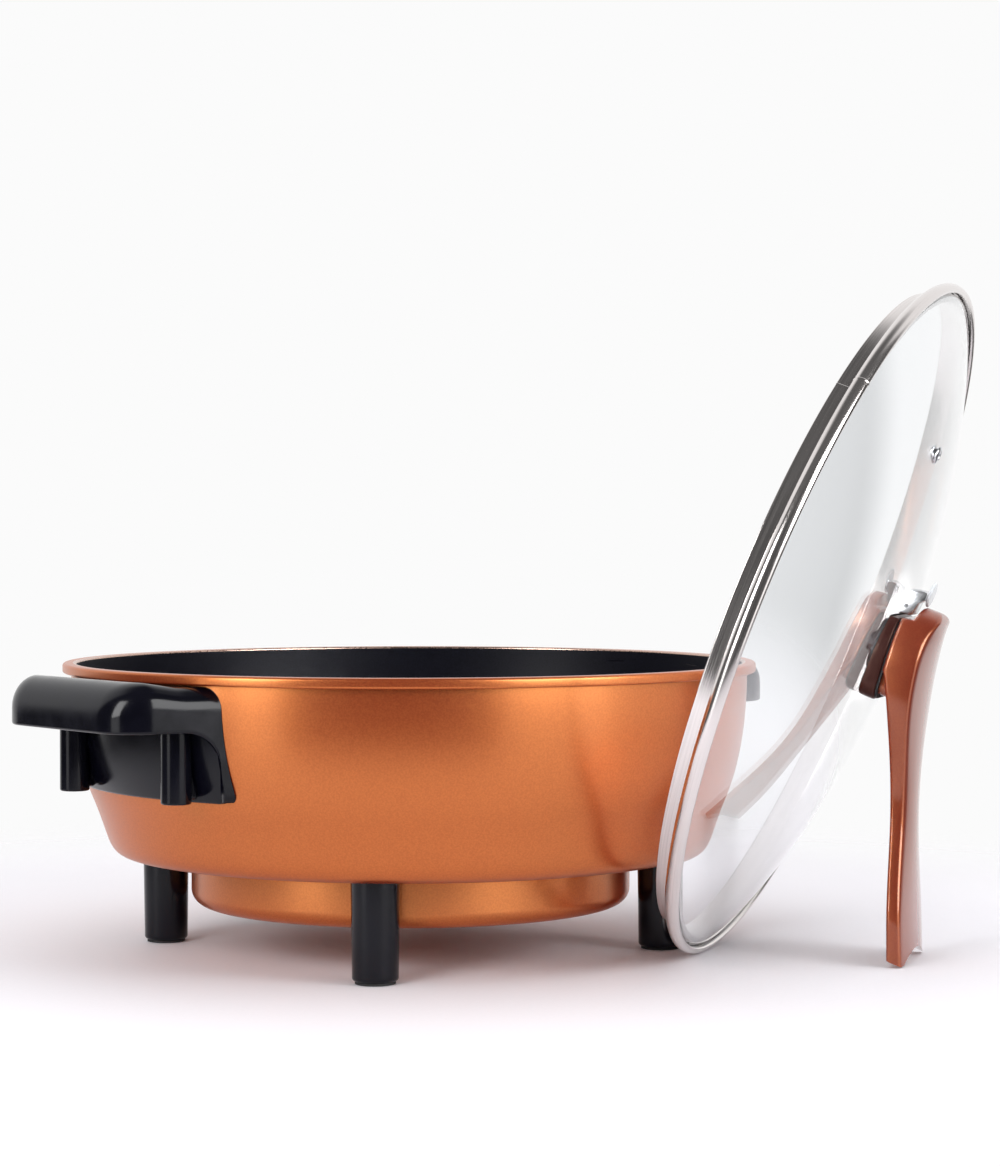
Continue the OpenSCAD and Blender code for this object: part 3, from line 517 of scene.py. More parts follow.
def half_outline():
    """Half of the hood's plan at its lip, from the pan's wall to the middle of the nose: points, inward
    directions, places on the spine, lower edge, top rounding, and how many points are on the straight."""
    z = sizes()
    taper = math.atan(HANDLE_TAPER)
    wing, foot, corner, fillet = 144.65 * MM, 142.95 * MM, 21.2 * MM, 15 * MM
    side_edge, nose_edge, spine_end = 9.0 * MM, 14.0 * MM, 164 * MM
    middle = np.array([z.grip_reach - corner, 0.0])
    middle[1] = side_half(middle[0]) - corner / math.cos(taper)
    bend = quarter(14)[1:]
    x = chain(np.linspace(135.8, 142.4, 5) * MM, np.linspace(foot, wing, 8),
              wing + fillet * (1 - np.cos(bend)), np.linspace(162, 170, 4) * MM)
    low = chain(np.full(5, z.grip_low), np.linspace(z.grip_low, z.grip_lip - fillet, 8),
                z.grip_lip - fillet + fillet * np.sin(bend), np.full(4, z.grip_lip))
    side = points_of(x, side_half(x))
    a = np.linspace(math.pi / 2 - taper, 0, 18)
    ray = points_of(np.cos(a), np.sin(a))
    front = points_of(z.grip_reach, np.linspace(middle[1], 0, 7)[1:])
    inward = chain(np.tile([-math.sin(taper), -math.cos(taper)], (len(side), 1)), -ray,
                   np.tile([-1.0, 0.0], (len(front), 1)))
    points = chain(side, middle + corner * ray, front)
    spine = points_of(np.minimum(points[:, 0], spine_end), 0.0)
    lip = np.full(len(ray) + len(front), z.grip_lip)
    round_top = chain(
        np.full(len(side), side_edge), side_edge + (nose_edge - side_edge) * smooth((a[0] - a) / a[0]),
        np.full(len(front), nose_edge))
    return points, inward, spine, chain(low, lip), round_top, len(side)


def handle_hood():
    """Hood and wings of a side handle as one shell: one parameter goes round the outline; the other runs
    from the spine along the inner top, down the inner wall, round the lip, up the outer wall, over the top
    edge and back. Each point is the outline moved inwards and set at its own height; what would lie in the
    pan is held on its wall, and the top rises outwards from the rim."""
    z = sizes()
    *sides, straight = half_outline()
    flip = np.array([1.0, -1.0])
    points, inward, spine = (chain(s, (s * flip)[::-1][1:])[:, None] for s in sides[:3])
    low, r = (chain(s, s[::-1][1:])[:, None] for s in sides[3:])
    count = len(low)
    t, e, top = z.grip_shell, 1.1 * MM, z.grip_top
    wing_half, level_end = 58.6 * MM, 15 * MM
    over, lip = quarter(11)[None], quarter(5)[None]
    up = np.linspace(0, 1, 12)[1:-1][None]
    one, four, ten = np.ones_like(low), np.ones((1, 4)), np.ones((1, 10))
    corner = np.clip(WING_CORNER - (low - z.grip_low), e, WING_CORNER)
    start = np.arcsin(np.clip((corner - t + e) / corner, 0, 1))
    under = start + (math.pi / 2 - start) * lip / (math.pi / 2)
    inner_low = low + corner - corner * np.cos(start)
    inner_wall = inner_low + e + (top - r - inner_low - e) * up
    outer_wall = low + corner + (top - r - low - corner) * up
    d = chain(r * four, (r - (r - t) * np.cos(over))[:, ::-1], t * one * ten,
              one * (t - e + e * np.cos(lip)), corner - corner * np.sin(under), 0 * one * ten,
              r - r * np.cos(over), r * four, axis=1)
    h = chain(one * (top - t) * four, (top - r + (r - t) * np.sin(over))[:, ::-1],
              inner_wall[:, ::-1], inner_low + e - e * np.sin(lip),
              low + corner - corner * np.cos(under), outer_wall,
              top - r + r * np.sin(over), one * top * four, axis=1)
    to_spine = np.zeros(h.shape[1])
    to_spine[:4] = [1.0, 0.7, 0.4, 0.15]
    to_spine[-4:] = to_spine[:4][::-1]
    radius = wall_radius(h) + HANDLE_GAP
    on_side = np.minimum(np.arange(count), np.arange(count)[::-1])[:, None] < straight
    x = np.maximum(points[..., 0], np.where(on_side, np.sqrt(radius ** 2 - wing_half ** 2), 0))
    y = np.where(on_side, np.sign(points[..., 1]) * side_half(x), points[..., 1])
    flat = points_of(x, y) + inward * d[..., None]
    flat = flat + (spine - flat) * to_spine[None, :, None]
    x, y = flat[..., 0], flat[..., 1]
    x = np.maximum(x, np.sqrt(np.maximum(radius ** 2 - y ** 2, 0)))
    rise = z.grip_rise * np.clip((x - z.rim_r) / (z.grip_reach - level_end - z.rim_r), 0, 1)
    h = h + rise * np.clip((h - z.grip_lip) / (top - z.grip_lip), 0, 1)
    return sheet(points_of(x, y, h), caps=True)


def handle_plate():
    """Back plate of a side handle: for each place across, a closed loop of radius and height that follows
    the pan's wall inside and 2.4 mm off it outside, with a rounded lower edge and rounded lower corners."""
    z = sizes()
    wide, thick, e = 57.4 * MM, 2.4 * MM, 1.0 * MM
    across = np.sin(np.radians(np.linspace(-90, 90, 61)))[:, None] * wide
    over = np.clip(np.abs(across) - (wide - WING_CORNER), 0, WING_CORNER)
    low = z.grip_low + WING_CORNER - np.sqrt(WING_CORNER ** 2 - over ** 2)
    rise = np.linspace(0, 1, 12)[None]
    bend = quarter(5)[None]
    inside = low + (COLUMN_TOP - low) * rise
    outside = (low + e + (COLUMN_TOP - low - e) * rise)[:, ::-1]
    edge = low + e - e * np.sin(bend)
    h = chain(inside, outside, edge, axis=1)
    off = chain(0 * inside, thick + 0 * outside, thick - e + e * np.cos(bend) + 0 * low, axis=1)
    x = np.sqrt((wall_radius(h) + HANDLE_GAP + off) ** 2 - across ** 2)
    return sheet(points_of(x, across, h), wrap_cols=True, caps=True)


def handle_column(side):
    """Screw column of a side handle turned from one line: counterbore, rounded foot, upright wall."""
    z = sizes()
    r, bore, deep, e = 6.5 * MM, 4.3 * MM, 10 * MM, 0.9 * MM
    line = chain(
        [[0, z.grip_low + deep], [bore, z.grip_low + deep], [bore, z.grip_low + e]],
        arc((bore + e / 2, z.grip_low + e / 2), e / 2, 180, 270, 4),
        arc((r - e, z.grip_low + e), e, -90, 0, 6),
        [[r, COLUMN_TOP], [0, COLUMN_TOP]])
    return turned(line, 48, middle=(COLUMN_OUT, side * COLUMN_ACROSS))


def handle_web(side):
    """Web between a screw column and the back plate: a thin box in plan, carried up from a rounded foot."""
    z = sizes()
    e, half, lift, sunk = 1.2 * MM, 1.6 * MM, 1.5 * MM, 0.6 * MM
    bend = quarter(5)
    h = chain(z.grip_low + lift + e - e * np.cos(bend), np.linspace(82, 111, 12) * MM)[:, None]
    inset = chain(e - e * np.sin(bend), np.zeros(12))[:, None]
    y = (half - inset) * np.array([[-1.0, -1.0, 1.0, 1.0]]) + side * COLUMN_ACROSS
    near = np.sqrt((wall_radius(h) + sunk) ** 2 - y ** 2)
    x = np.where(np.array([[True, False, False, True]]), near, COLUMN_OUT)
    return sheet(points_of(x, y, h), wrap_cols=True, caps=True)


def facing(surface, way):
    """The same surface, or for way -1 turned half round the pan's axis."""
    return {**surface, "points": surface["points"] * np.array([way, way, 1.0])}


def dome(r):
    """Height of the glass's outer face: the rise times 1 less (radius / glass radius) to the power 2.3."""
    z = sizes()
    return GLASS_EDGE + z.dome_rise * (1 - (np.abs(r) / z.glass_r) ** 2.3)


def glass_surface():
    """The glass turned from one line: outer dome from the middle to a rounded edge, inner dome back."""
    z = sizes()
    half, edge_width = z.glass_t / 2, 1.6 * MM
    r = z.glass_r * np.sin(quarter(60))
    r = r[r < z.glass_r - edge_width]
    outer = points_of(r, dome(r))
    edge = arc((z.glass_r - half, GLASS_EDGE - half), half, 75, -75, 9)
    inner = points_of(r, dome(r) - z.glass_t)[::-1]
    return turned(chain(outer, edge, inner), 256, tilt=in_lid)


def rim_line():
    """Closed section of the lid's steel band as radius and height: skirt with a hemmed edge, step out to
    the bead, the bead up to its tighter rolled lip on the glass, and back along the glass's pocket."""
    z = sizes()
    t, fillet = 0.8 * MM, 0.6 * MM
    low, under, step = -12.3 * MM, -5.5 * MM, -4.7 * MM
    inner = z.skirt_r - t
    middle = np.array([157.3, -1.4]) * MM
    turn, end, roll = 35, 150, 1.65 * MM
    rolled = arc(middle, z.bead_r - roll, turn, turn, 1)[0]
    pocket = z.glass_r + 0.1 * MM
    lip = rolled[0] + roll * math.cos(math.radians(end))
    return chain(
        arc((z.skirt_r - t / 2, low + t / 2), t / 2, 180, 360, 9),
        points_of(z.skirt_r, np.linspace(low + t, under - 1.0 * MM, 5)),
        arc((z.skirt_r + fillet, under - fillet), fillet, 180, 90, 6),
        arc(middle, z.bead_r, -90, turn, 26), arc(rolled, roll, turn, end, 14),
        [[lip, dome(lip) + 0.05 * MM], [pocket, dome(pocket) + 0.1 * MM],
         [pocket, step], [inner, dome(inner) - z.glass_t - 0.1 * MM]])


def weld_seam():
    """Short weld across the band: the band's outer line, raised by a squared cosine over 1.4 mm of arc."""
    hem, lip = 5, 56
    at, half, height, sunk, root = math.radians(136.5), 0.7 * MM, 0.22 * MM, 0.05 * MM, 0.4 * MM
    line = rim_line()[hem:lip]
    tangent = np.gradient(line, axis=0)
    normal = points_of(tangent[:, 1], -tangent[:, 0])
    normal = normal / np.linalg.norm(normal, axis=1)[:, None]
    across = np.linspace(-1, 1, 9)
    place = chain(across, [0.6, -0.6])
    raised = chain(height * np.cos(across * math.pi / 2) ** 2 - sunk, [-root, -root])
    a = (at + place * half / sizes().skirt_r)[:, None]
    r, h = (line[None, :, k] + normal[None, :, k] * raised[:, None] for k in (0, 1))
    return sheet(in_lid(points_of(r * np.cos(a), r * np.sin(a), h)), wrap_rows=True)


def eyelet_surface():
    """Steam eyelet turned from one closed line: rolled flange over the glass, tube, flange under it."""
    out, a = 89.5 * MM, math.radians(98.7)
    bore, tube, flange = 2.2 * MM, 3.0 * MM, 3.7 * MM
    top = dome(out) + 1.0 * MM
    low = top - 6.2 * MM
    line = chain(
        arc((2.9 * MM, top), 0.7 * MM, 180, 60, 8), arc((flange, top - 0.1 * MM), 0.5 * MM, 60, -90, 7),
        [[tube, top - 0.8 * MM], [tube, low + 0.8 * MM]],
        arc((flange, low + 0.4 * MM), 0.4 * MM, 90, -90, 7), [[bore, low]])
    return turned(line, 48, closed=True, middle=(out * math.cos(a), out * math.sin(a)), tilt=in_lid)


def boss_outline(inset):
    """Plan of the boss: round end cut level above, straight sides, rounded lower corners."""
    r, cut, low, corner = 25.5 * MM, 16.5 * MM, -22.0 * MM, 8.0 * MM
    count = 28
    stop = math.degrees(math.asin((cut - ARM_HEAD) / r))
    line = chain(
        arc((0, ARM_HEAD), r - inset, stop - 4, 0, count),
        arc((r - corner, low + corner), corner - inset, 0, -90, 8),
        arc((corner - r, low + corner), corner - inset, -90, -180, 8),
        arc((0, ARM_HEAD), r - inset, 180, 184 - stop, count))
    line[:, 1] = np.minimum(line[:, 1], cut - inset)
    return line


def boss_surface():
    """The boss as rings of its plan from the glass to the seam: each ring is the plan set in by the edge's
    rounding, at a height between the glass and a top that falls by the seam's slope up the lid."""
    e, top_height, least = 0.9 * MM, 32.6 * MM, 26.9 * MM
    bend = quarter(5)
    inset = chain([0.2 * MM], np.zeros(4), e * (1 - np.cos(bend)))
    rings = np.stack([boss_outline(k) for k in inset])
    across, up = rings[..., 0], rings[..., 1]
    top = top_height - up * SEAM_SLOPE
    low = np.maximum(dome(np.hypot(across, up)) + 0.5 * MM, least)
    share = chain(np.linspace(0, 1, 5), np.ones(5))[:, None]
    rounding = chain(np.zeros(5), e * np.sin(bend))[:, None]
    return lid_rings(across, up, low + (top - e - low) * share + rounding)


def seam_surface():
    """Seam between boss and arm, dark as painted shade of the gap there: the boss's plan set in by 1 mm,
    between the two slopes.
    """
    ring = boss_outline(1.0 * MM)
    ends = np.array([[32.5], [33.6]]) * MM
    return lid_rings(ring[:, 0], ring[:, 1], ends - ring[:, 1] * SEAM_SLOPE)


def arm_lines():
    """Outer and inner line of the arm in side view, as places along the lid and heights over its rim plane:
    each is a cubic curve from the foot; the inner one goes on along the seam and up the head's step."""
    seam, foot = SEAM_HEIGHT / MM, ARM_FOOT / MM
    shoulder = np.array([-7.5, seam + 7.5 * SEAM_SLOPE])
    toe, heel, crown = np.array([foot, 90.2]), np.array([foot, 81.8]), np.array([19.0, 48.4])
    nose = 4.0
    outer = cubic(crown, crown + [-28.3, -3.4], toe + [58.2, -25.0], toe, 60)[::-1]
    outer = chain(outer, arc(crown - [0, nose], nose, 80, 0, 7))
    inner = cubic(heel, heel + [60.8, -23.8], shoulder + [-13.0, 8.2], shoulder, 50)
    step = seam - 16.5 * SEAM_SLOPE
    inner = chain(inner, [[16.2, step], [16.9, step + 4.4], [17.4, step + 4.8],
                          [22.4, step + 5.7], [23.0, step + 6.6]])
    return outer * MM, inner * MM


def arm_surface():
    """The arm as sections across it from foot to head: each is a rounded box between the inner and the
    outer line, its half width drawn in at the waist by a squared cosine and closed round the head by a half
    circle. Near the foot the sections bow up to a shallow arch, and the outer face is crowned."""
    z = sizes()
    outer, inner = arm_lines()
    half = z.arm_w / 2
    waist, waist_depth, waist_reach = -61.4 * MM, 8.2 * MM, 51 * MM
    arch_rise, arch_half, arch_end = 6.0 * MM, 22.5 * MM, 26 * MM
    crown_depth, crown_end = 1.2 * MM, 12 * MM
    end = np.radians(chain(np.linspace(2, 46, 12), np.linspace(48.2, 53, 9),
                           np.linspace(55, 74, 7), np.linspace(78, 88.5, 8)))
    along = chain(np.linspace(ARM_FOOT, ARM_HEAD, 64), ARM_HEAD + half * np.sin(end))[:, None]
    pinch = waist_depth * np.cos(np.clip((along - waist) / waist_reach, -1, 1) * math.pi / 2) ** 2
    head = np.sqrt(np.maximum(half ** 2 - (along - ARM_HEAD) ** 2, 0))
    body = np.where(along <= ARM_HEAD, half - pinch, head)
    high = np.interp(along, outer[:, 0], outer[:, 1])
    low = np.interp(along, inner[:, 0], inner[:, 1])
    e = np.minimum(np.minimum(z.arm_edge, 0.6 * body), 0.4 * (high - low))
    bend = quarter(6)[::-1][None]
    face = (body - e) * np.linspace(-1, 1, 17)[None]
    edge = body - e + e * np.cos(bend)
    deep = e - e * np.sin(bend)
    side = chain(face, edge[:, 1:], edge[:, ::-1][:, :-1], axis=1)
    across = chain(side, -side, axis=1)
    depth = chain(*[0 * face, deep[:, 1:], deep[:, ::-1][:, :-1]] * 2, axis=1)
    is_outer = np.repeat([True, False, True], [face.shape[1] + 5, face.shape[1] + 10, 5])[None]
    ring = (arch_half ** 2 + arch_rise ** 2) / (2 * arch_rise)
    arch = np.maximum(np.sqrt(np.maximum(ring ** 2 - across ** 2, 0)) - (ring - arch_rise), 0)
    up = along + arch * (1 - smooth((along - ARM_FOOT) / arch_end))
    bow = 2 * (across / np.maximum(body, 1e-6)) ** 2 - 1
    crown = crown_depth * bow * smooth((ARM_HEAD + half - up) / crown_end)
    top = np.interp(up, outer[:, 0], outer[:, 1]) - depth - crown
    bottom = np.interp(up, inner[:, 0], inner[:, 1]) + depth
    return lid_rings(across, up, np.where(is_outer, top, bottom))


def lug_surface():
    """Lug under the arm, on the seam: the boss's plan set in by 3 mm, from the seam up into the arm."""
    inner = arm_lines()[1]
    ring = boss_outline(3.0 * MM)
    low = SEAM_HEIGHT - ring[:, 1] * SEAM_SLOPE
    high = np.interp(ring[:, 1], inner[:, 0], inner[:, 1]) + 2.0 * MM
    share = np.linspace(0, 1, 4)[:, None]
    return lid_rings(ring[:, 0], ring[:, 1], low + (high - low) * share)


def lever_surface():
    """Thumb lever: its side view, a cheek that widens from the boss to a tab with a neck for the disc, is
    carried across; the width falls upwards so that the cheeks face up a little; the ends are drawn in."""
    side = np.array([[16.8, 28.4], [17.6, 33.5], [18.2, 34.2], [23.6, 35.0], [26.0, 37.5], [29.4, 37.5],
                     [29.6, 35.4], [28.9, 31.0], [27.9, 28.5], [27.2, 28.0], [22.0, 27.5],
                     [17.4, 27.7]]) * MM
    half, foot, narrowing = 7.0 * MM, 17 * MM, 0.08
    middle = side.mean(axis=0)
    place = np.array([-1.0, -0.97, -0.9, 0.9, 0.97, 1.0])[:, None]
    shrink = np.array([0.9, 0.97, 1.0, 1.0, 0.97, 0.9])[:, None, None]
    rings = middle + (side - middle)[None] * shrink
    across = place * (half - narrowing * (rings[..., 0] - foot))
    return lid_rings(across, rings[..., 0], rings[..., 1])


def disc_surface():
    """Thumb disc turned from one line: slightly dished face, rounded edge, flat back."""
    r = sizes().disc_r
    low, high, e, up = 37.4 * MM, 39.0 * MM, 0.7 * MM, 29.0 * MM
    line = chain(
        [[0, low], [r - 2 * e, low]], arc((r - e, low + e), e, -90, 90, 12),
        [[0.8 * r, high - 0.25 * MM], [0.4 * r, high - 0.35 * MM], [0, high - 0.4 * MM]])
    return turned(line, 56, middle=(0.0, up), tilt=in_lid)


class SKILLET_OT_pan(Operator):
    """Build the painted pan with its coated inside"""

    bl_idname = "skillet.pan"
    bl_label = "Pan"

    def execute(self, context):
        bare = plain_metal("bare aluminium edge", colours().bare, 0.22, 0.34, 3 * MM)
        build("pan_painted", [pan_surface()], [copper_lacquer(), bare, nonstick_coating()],
              "base", ["pan"])
        return {"FINISHED"}


class SKILLET_OT_base(Operator):
    """Build the base cover and the four legs"""

    bl_idname = "skillet.base"
    bl_label = "Base cover and legs"

    def execute(self, context):
        build("base_cover_painted", [base_surface()], [copper_lacquer()],
              "base", ["base_cover"])
        legs = ("leg_rear_right", "leg_rear_left", "leg_front_left", "leg_front_right")
        for node, turn in zip(legs, (45, 135, 225, 315)):
            build(node + "_moulded", [leg_surface(turn)], [moulded_phenolic()],
                  "base", [node])
        return {"FINISHED"}


class SKILLET_OT_handles(Operator):
    """Build the two hooded side handles"""

    bl_idname = "skillet.handles"
    bl_label = "Side handles"

    def execute(self, context):
        for node, way in (("handle_right", 1.0), ("handle_left", -1.0)):
            parts = [handle_hood(), handle_plate(), handle_column(1), handle_column(-1),
                     handle_web(1), handle_web(-1)]
            build(node + "_moulded", [facing(p, way) for p in parts], [moulded_phenolic()],
                  "base", [node])
        return {"FINISHED"}


class SKILLET_OT_lid(Operator):
    """Build the lid's glass, its steel band and the steam eyelet"""

    bl_idname = "skillet.lid"
    bl_label = "Lid"

    def execute(self, context):
        glass = build("lid_glass_domed", [glass_surface()], [toughened_glass()],
                      "lid", ["lid_glass"])
        glass.visible_shadow = False
        build("lid_rim_rolled", [turned(rim_line(), 320, closed=True, tilt=in_lid), weld_seam()],
              [polished_steel()], "lid", ["lid_rim"])
        chrome = plain_metal("chrome plate", colours().chrome, 0.05, 0.10, 5 * MM)
        build("vent_eyelet_rolled", [eyelet_surface()], [chrome],
              "lid", ["vent_eyelet"])
        return {"FINISHED"}


class SKILLET_OT_lid_handle(Operator):
    """Build the lid's handle, its boss, the thumb lever and the thumb disc"""

    bl_idname = "skillet.lid_handle"
    bl_label = "Lid handle"

    def execute(self, context):
        # The arm's lacquer is the pan's at three quarters of its tone: painted shade of the arm's side
        paint = copper_lacquer("copper lacquer on plastic, darkened for painted shade", 0.75, 1.0, share=0.2, haze=0.05, bend=1.45)
        # The boss's lacquer is the pan's at 0.12 of its tone: painted shade, since the boss sits in the
        # shade of the arm
        painted_shade_lacquer = copper_lacquer("copper lacquer darkened for painted shade", 0.12, 0.3, share=0.1)
        chrome = plain_metal("satin chrome plate", colours().chrome, 0.2, 0.28, 5 * MM)
        build("lid_handle_arm", [arm_surface(), lug_surface()], [paint],
              "lid", ["lid_handle"])
        build("handle_boss_painted", [boss_surface()], [painted_shade_lacquer], "lid", ["handle_boss"])
        # The seam strip is black as painted shade of the gap between boss and arm
        build("seam_shade_strip", [seam_surface()], [black_rubber_and_gap_shade()], "lid", ["seam_gasket"])
        lever = build("thumb_lever_plated", [lever_surface()], [chrome],
                      "steam_lever", ["thumb_lever"])
        soft = lever.modifiers.new("edges", "BEVEL")
        soft.width = 0.25 * MM
        soft.segments = 2
        build("thumb_disc", [disc_surface()], [pale_polycarbonate()],
              "steam_lever", ["thumb_pad"])
        return {"FINISHED"}


class SKILLET_OT_frame_finishes(Operator):
    """Give the CAD nodes that stay their real finishes"""

    bl_idname = "skillet.frame_finishes"
    bl_label = "Frame finishes"

    def execute(self, context):
        c = colours()
        zinc = plain_metal("zinc plated steel", c.zinc, 0.25, 0.4, 2 * MM)
        brass = plain_metal("nickel plated brass", c.chrome, 0.15, 0.25, 2 * MM)
        sheath = plain_metal("heat-tinted alloy sheath", c.sheath, 0.35, 0.55, 6 * MM)
        bright = plain_metal("bright rolled aluminium", c.reflector, 0.15, 0.3, 8 * MM)
        ceramic = matt_solid("fired ceramic", c.ceramic, 0.35, 0.5, 0.8 * MM, 0.02 * MM)
        felt = matt_solid("pressed mineral felt", c.felt, 0.85, 0.95, 1.2 * MM, 0.2 * MM)
        given = {
            zinc: ["shroud_screws", "base_screws", "leg_screws", "bracket_right", "bracket_left",
                   "handle_screws_right", "handle_screws_left", "glass_washer", "clamp_plate",
                   "lid_screw", "lever_pin"],
            brass: ["terminal_pins"],
            sheath: ["heating_element", "probe_sleeve"],
            bright: ["heat_shield"],
            black_rubber_and_gap_shade(): ["foot_pads", "boss_gasket"],
            ceramic: ["terminal_bushes"],
            felt: ["insulation_pad"],
            moulded_phenolic(): ["inlet_shroud"],
        }
        for material, names in given.items():
            for name in names:
                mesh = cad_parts[name].data
                mesh.materials.clear()
                mesh.materials.append(material)
        return {"FINISHED"}


def soft_box(name, place, size, power):
    """Rectangular lamp at a place, level across, that looks at the object; the camera doesn't see it."""
    data = bpy.data.lights.new(name, "AREA")
    data.shape = "RECTANGLE"
    data.size, data.size_y = size
    data.energy = power
    lamp = placed(name, data)
    back = np.array(place) - LAMP_AIM
    back = back / np.linalg.norm(back)
    side = np.cross([0.0, 0.0, 1.0], back)
    side = side / np.linalg.norm(side)
    up = np.cross(back, side)
    rows = [[side[k], up[k], back[k], place[k]] for k in range(3)]
    lamp.matrix_world = Matrix(rows + [[0.0, 0.0, 0.0, 1.0]])
    lamp.visible_camera = False
    return lamp


def mirrored_box(name, place, size, power):
    """Lamp that is only seen mirrored: it lights no matt surface, straight or by way of the paint."""
    lamp = soft_box(name, place, size, power)
    lamp.visible_diffuse = False
    lamp.data.use_nodes = True
    tree = lamp.data.node_tree
    tree.nodes.clear()
    path = add_node(tree, "LightPath")
    first = add_node(tree, "Math", {"operation": "LESS_THAN", 1: 0.5}, {0: path.outputs["Diffuse Depth"]})
    light = add_node(tree, "Emission", None, {"Strength": first.outputs[0]})
    add_node(tree, "OutputLight", None, {"Surface": light.outputs[0]})


def studio_world():
    """White to the camera, in glass, and in reflections behind the object up to some 50 degrees; a dark
    room in other reflections; as a light, dim at the horizon and brighter above."""
    world = bpy.data.worlds.new("studio")
    bpy.context.scene.world = world
    world.use_nodes = True
    tree = world.node_tree
    tree.nodes.clear()
    path = add_node(tree, "LightPath").outputs
    look = add_node(tree, "TexCoord").outputs["Generated"]
    behind = add_node(tree, "VectorMath", {"operation": "DOT_PRODUCT", 1: (0.5, 0.7, 0.5)}, {0: look})
    height = add_node(tree, "SeparateXYZ", None, {0: look}).outputs[2]
    wide, high, light = (
        add_node(tree, "MapRange", {"interpolation_type": "SMOOTHSTEP", **dict(zip(RANGE, span))},
                 {"Value": value}).outputs[0]
        for value, span in (
            (behind.outputs["Value"], (0.33, 0.5, 0.0, 1.0)),
            (height, (0.74, 0.97, 1.0, 0.0)),
            (height, (0.05, 0.4, 0.45, 0.88))))
    both = add_node(tree, "Math", {"operation": "MULTIPLY"}, {0: wide, 1: high})
    room = add_node(tree, "MapRange", dict(zip(RANGE, (0.3, 0.8, 0.08, 0.12))), {"Value": height})
    seen = add_node(tree, "MapRange", {"To Max": 1.0},
                    {"Value": both.outputs[0], "To Min": room.outputs[0]})
    glossy = add_node(tree, "Mix", {"data_type": "FLOAT"},
                      {0: path["Is Glossy Ray"], 2: light, 3: seen.outputs[0]})
    clear = add_node(tree, "Math", {"operation": "MAXIMUM"},
                     {0: path["Is Camera Ray"], 1: path["Is Transmission Ray"]})
    through = add_node(tree, "Math", {"operation": "ADD", "use_clamp": True},
                       {0: clear.outputs[0], 1: path["Transmission Depth"]})
    level = add_node(tree, "Mix", {"data_type": "FLOAT", 3: 0.965},
                     {0: through.outputs[0], 2: glossy.outputs[0]})
    sky = add_node(tree, "Background", {"Color": (1.0, 1.0, 1.0, 1.0)}, {"Strength": level.outputs[0]})
    add_node(tree, "OutputWorld", None, {"Surface": sky.outputs[0]})


def floor_paper():
    """Matt pale paper: one soft colour with fibres of 2 mm; it fades out towards the white background."""
    made = finish("matt pale paper", {"Roughness": 0.7, "Specular IOR Level": 0.25})
    patterned(made, 2.0 * MM, tones=shades(colours().paper, 0.985, 1.0))
    tree = made.node_tree
    away = add_node(tree, "VectorMath", {"operation": "LENGTH"},
                    {0: tree.nodes["place"].outputs["Object"]})
    span = dict(zip(RANGE, (0.3, 0.6, 1.0, 0.0)))
    fade = add_node(tree, "MapRange", {"interpolation_type": "SMOOTHSTEP", **span},
                    {"Value": away.outputs["Value"]})
    tree.links.new(fade.outputs[0], tree.nodes["surface"].inputs["Alpha"])
    return made


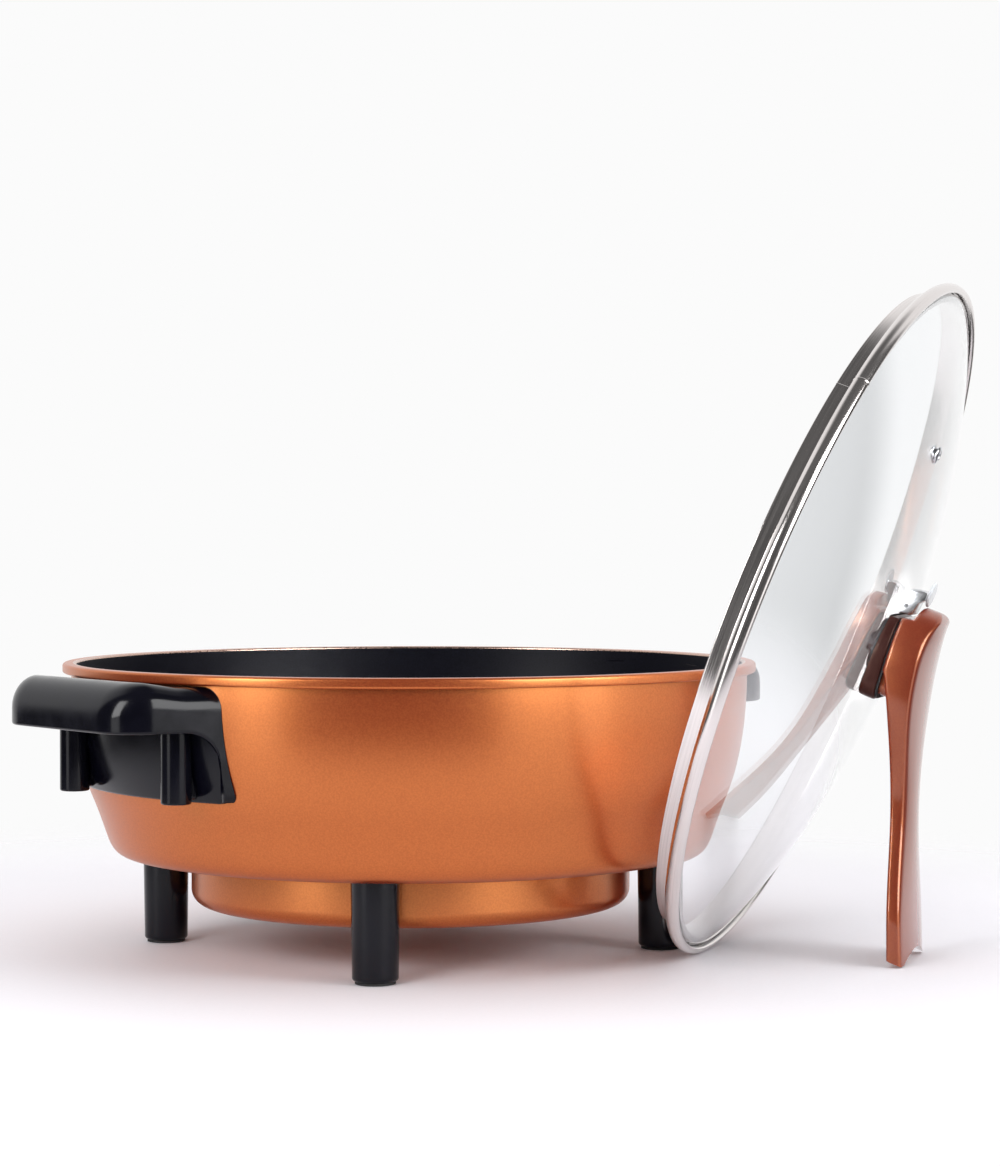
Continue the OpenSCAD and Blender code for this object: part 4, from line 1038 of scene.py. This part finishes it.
class SKILLET_OT_stage(Operator):
    """Lay the floor, hang the lamps and set the camera"""

    bl_idname = "skillet.stage"
    bl_label = "Stage"

    def execute(self, context):
        scene = context.scene
        scene.view_settings.view_transform = "Standard"
        radius, depth = 0.9, -0.0002
        rings = np.linspace(0.0, radius, 10)
        a = np.linspace(0, 2 * math.pi, 64, endpoint=False)[:, None]
        ground = sheet(points_of(rings * np.cos(a), rings * np.sin(a), depth), wrap_rows=True)
        mesh = bpy.data.meshes.new("floor")
        mesh.from_pydata(ground["points"].tolist(), [], ground["faces"])
        mesh.materials.append(floor_paper())
        floor = placed("floor", mesh)
        studio_world()
        for lamp in (
                ("overhead", (0.0, -0.1, 1.9), (1.8, 1.8), 5.5),
                ("left_fill", (-1.25, -0.45, 0.62), (0.6, 0.6), 8.6),
                ("right_fill", (0.5, -1.3, 0.62), (0.6, 0.6), 6.6)):
            soft_box(*lamp).visible_glossy = False
        for lamp in (
                ("left_box", (-2.50, -0.02, 0.95), (0.9, 1.7), 45.0),
                ("left_low_box", (-2.50, -0.02, -0.55), (0.9, 1.3), 6.6),
                ("right_box", (0.43, -2.56, 0.95), (1.7, 1.7), 70.0),
                ("right_low_box", (0.43, -2.56, -0.55), (1.7, 1.3), 8.3)):
            mirrored_box(*lamp)
        data = bpy.data.cameras.new("camera")
        data.lens = 88.63
        data.sensor_width = 36.0
        scene.camera = placed("camera", data)
        scene.camera.location = (-0.8112, -1.0586, 0.1942)
        scene.camera.rotation_euler = (math.radians(90 - 1.14), 0.0, math.radians(-39.24))
        return {"FINISHED"}


class SKILLET_PT_panel(Panel):
    """Lists the pieces and the sizes and colours they take"""

    bl_label = "Electric skillet"
    bl_idname = "SKILLET_PT_panel"
    bl_space_type = "VIEW_3D"
    bl_region_type = "UI"
    bl_category = "Skillet"

    def draw(self, context):
        for step in STEPS:
            self.layout.operator(step.bl_idname)
        for group in (sizes(), colours()):
            for name in group.__annotations__:
                self.layout.prop(group, name)


STEPS = (SKILLET_OT_stage, SKILLET_OT_pan, SKILLET_OT_base, SKILLET_OT_handles, SKILLET_OT_lid,
         SKILLET_OT_lid_handle, SKILLET_OT_frame_finishes)
CLASSES = (SkilletSizes, SkilletColours) + STEPS + (SKILLET_PT_panel,)


def register():
    for kind in CLASSES:
        bpy.utils.register_class(kind)
    bpy.types.Scene.skillet_sizes = PointerProperty(type=SkilletSizes)
    bpy.types.Scene.skillet_colours = PointerProperty(type=SkilletColours)


def unregister():
    del bpy.types.Scene.skillet_colours
    del bpy.types.Scene.skillet_sizes
    for kind in reversed(CLASSES):
        bpy.utils.unregister_class(kind)


def main():
    register()
    bpy.ops.skillet.stage()
    bpy.ops.skillet.pan()
    bpy.ops.skillet.base()
    bpy.ops.skillet.handles()
    bpy.ops.skillet.lid()
    bpy.ops.skillet.lid_handle()
    bpy.ops.skillet.frame_finishes()


if __name__ == "__main__":
    main()
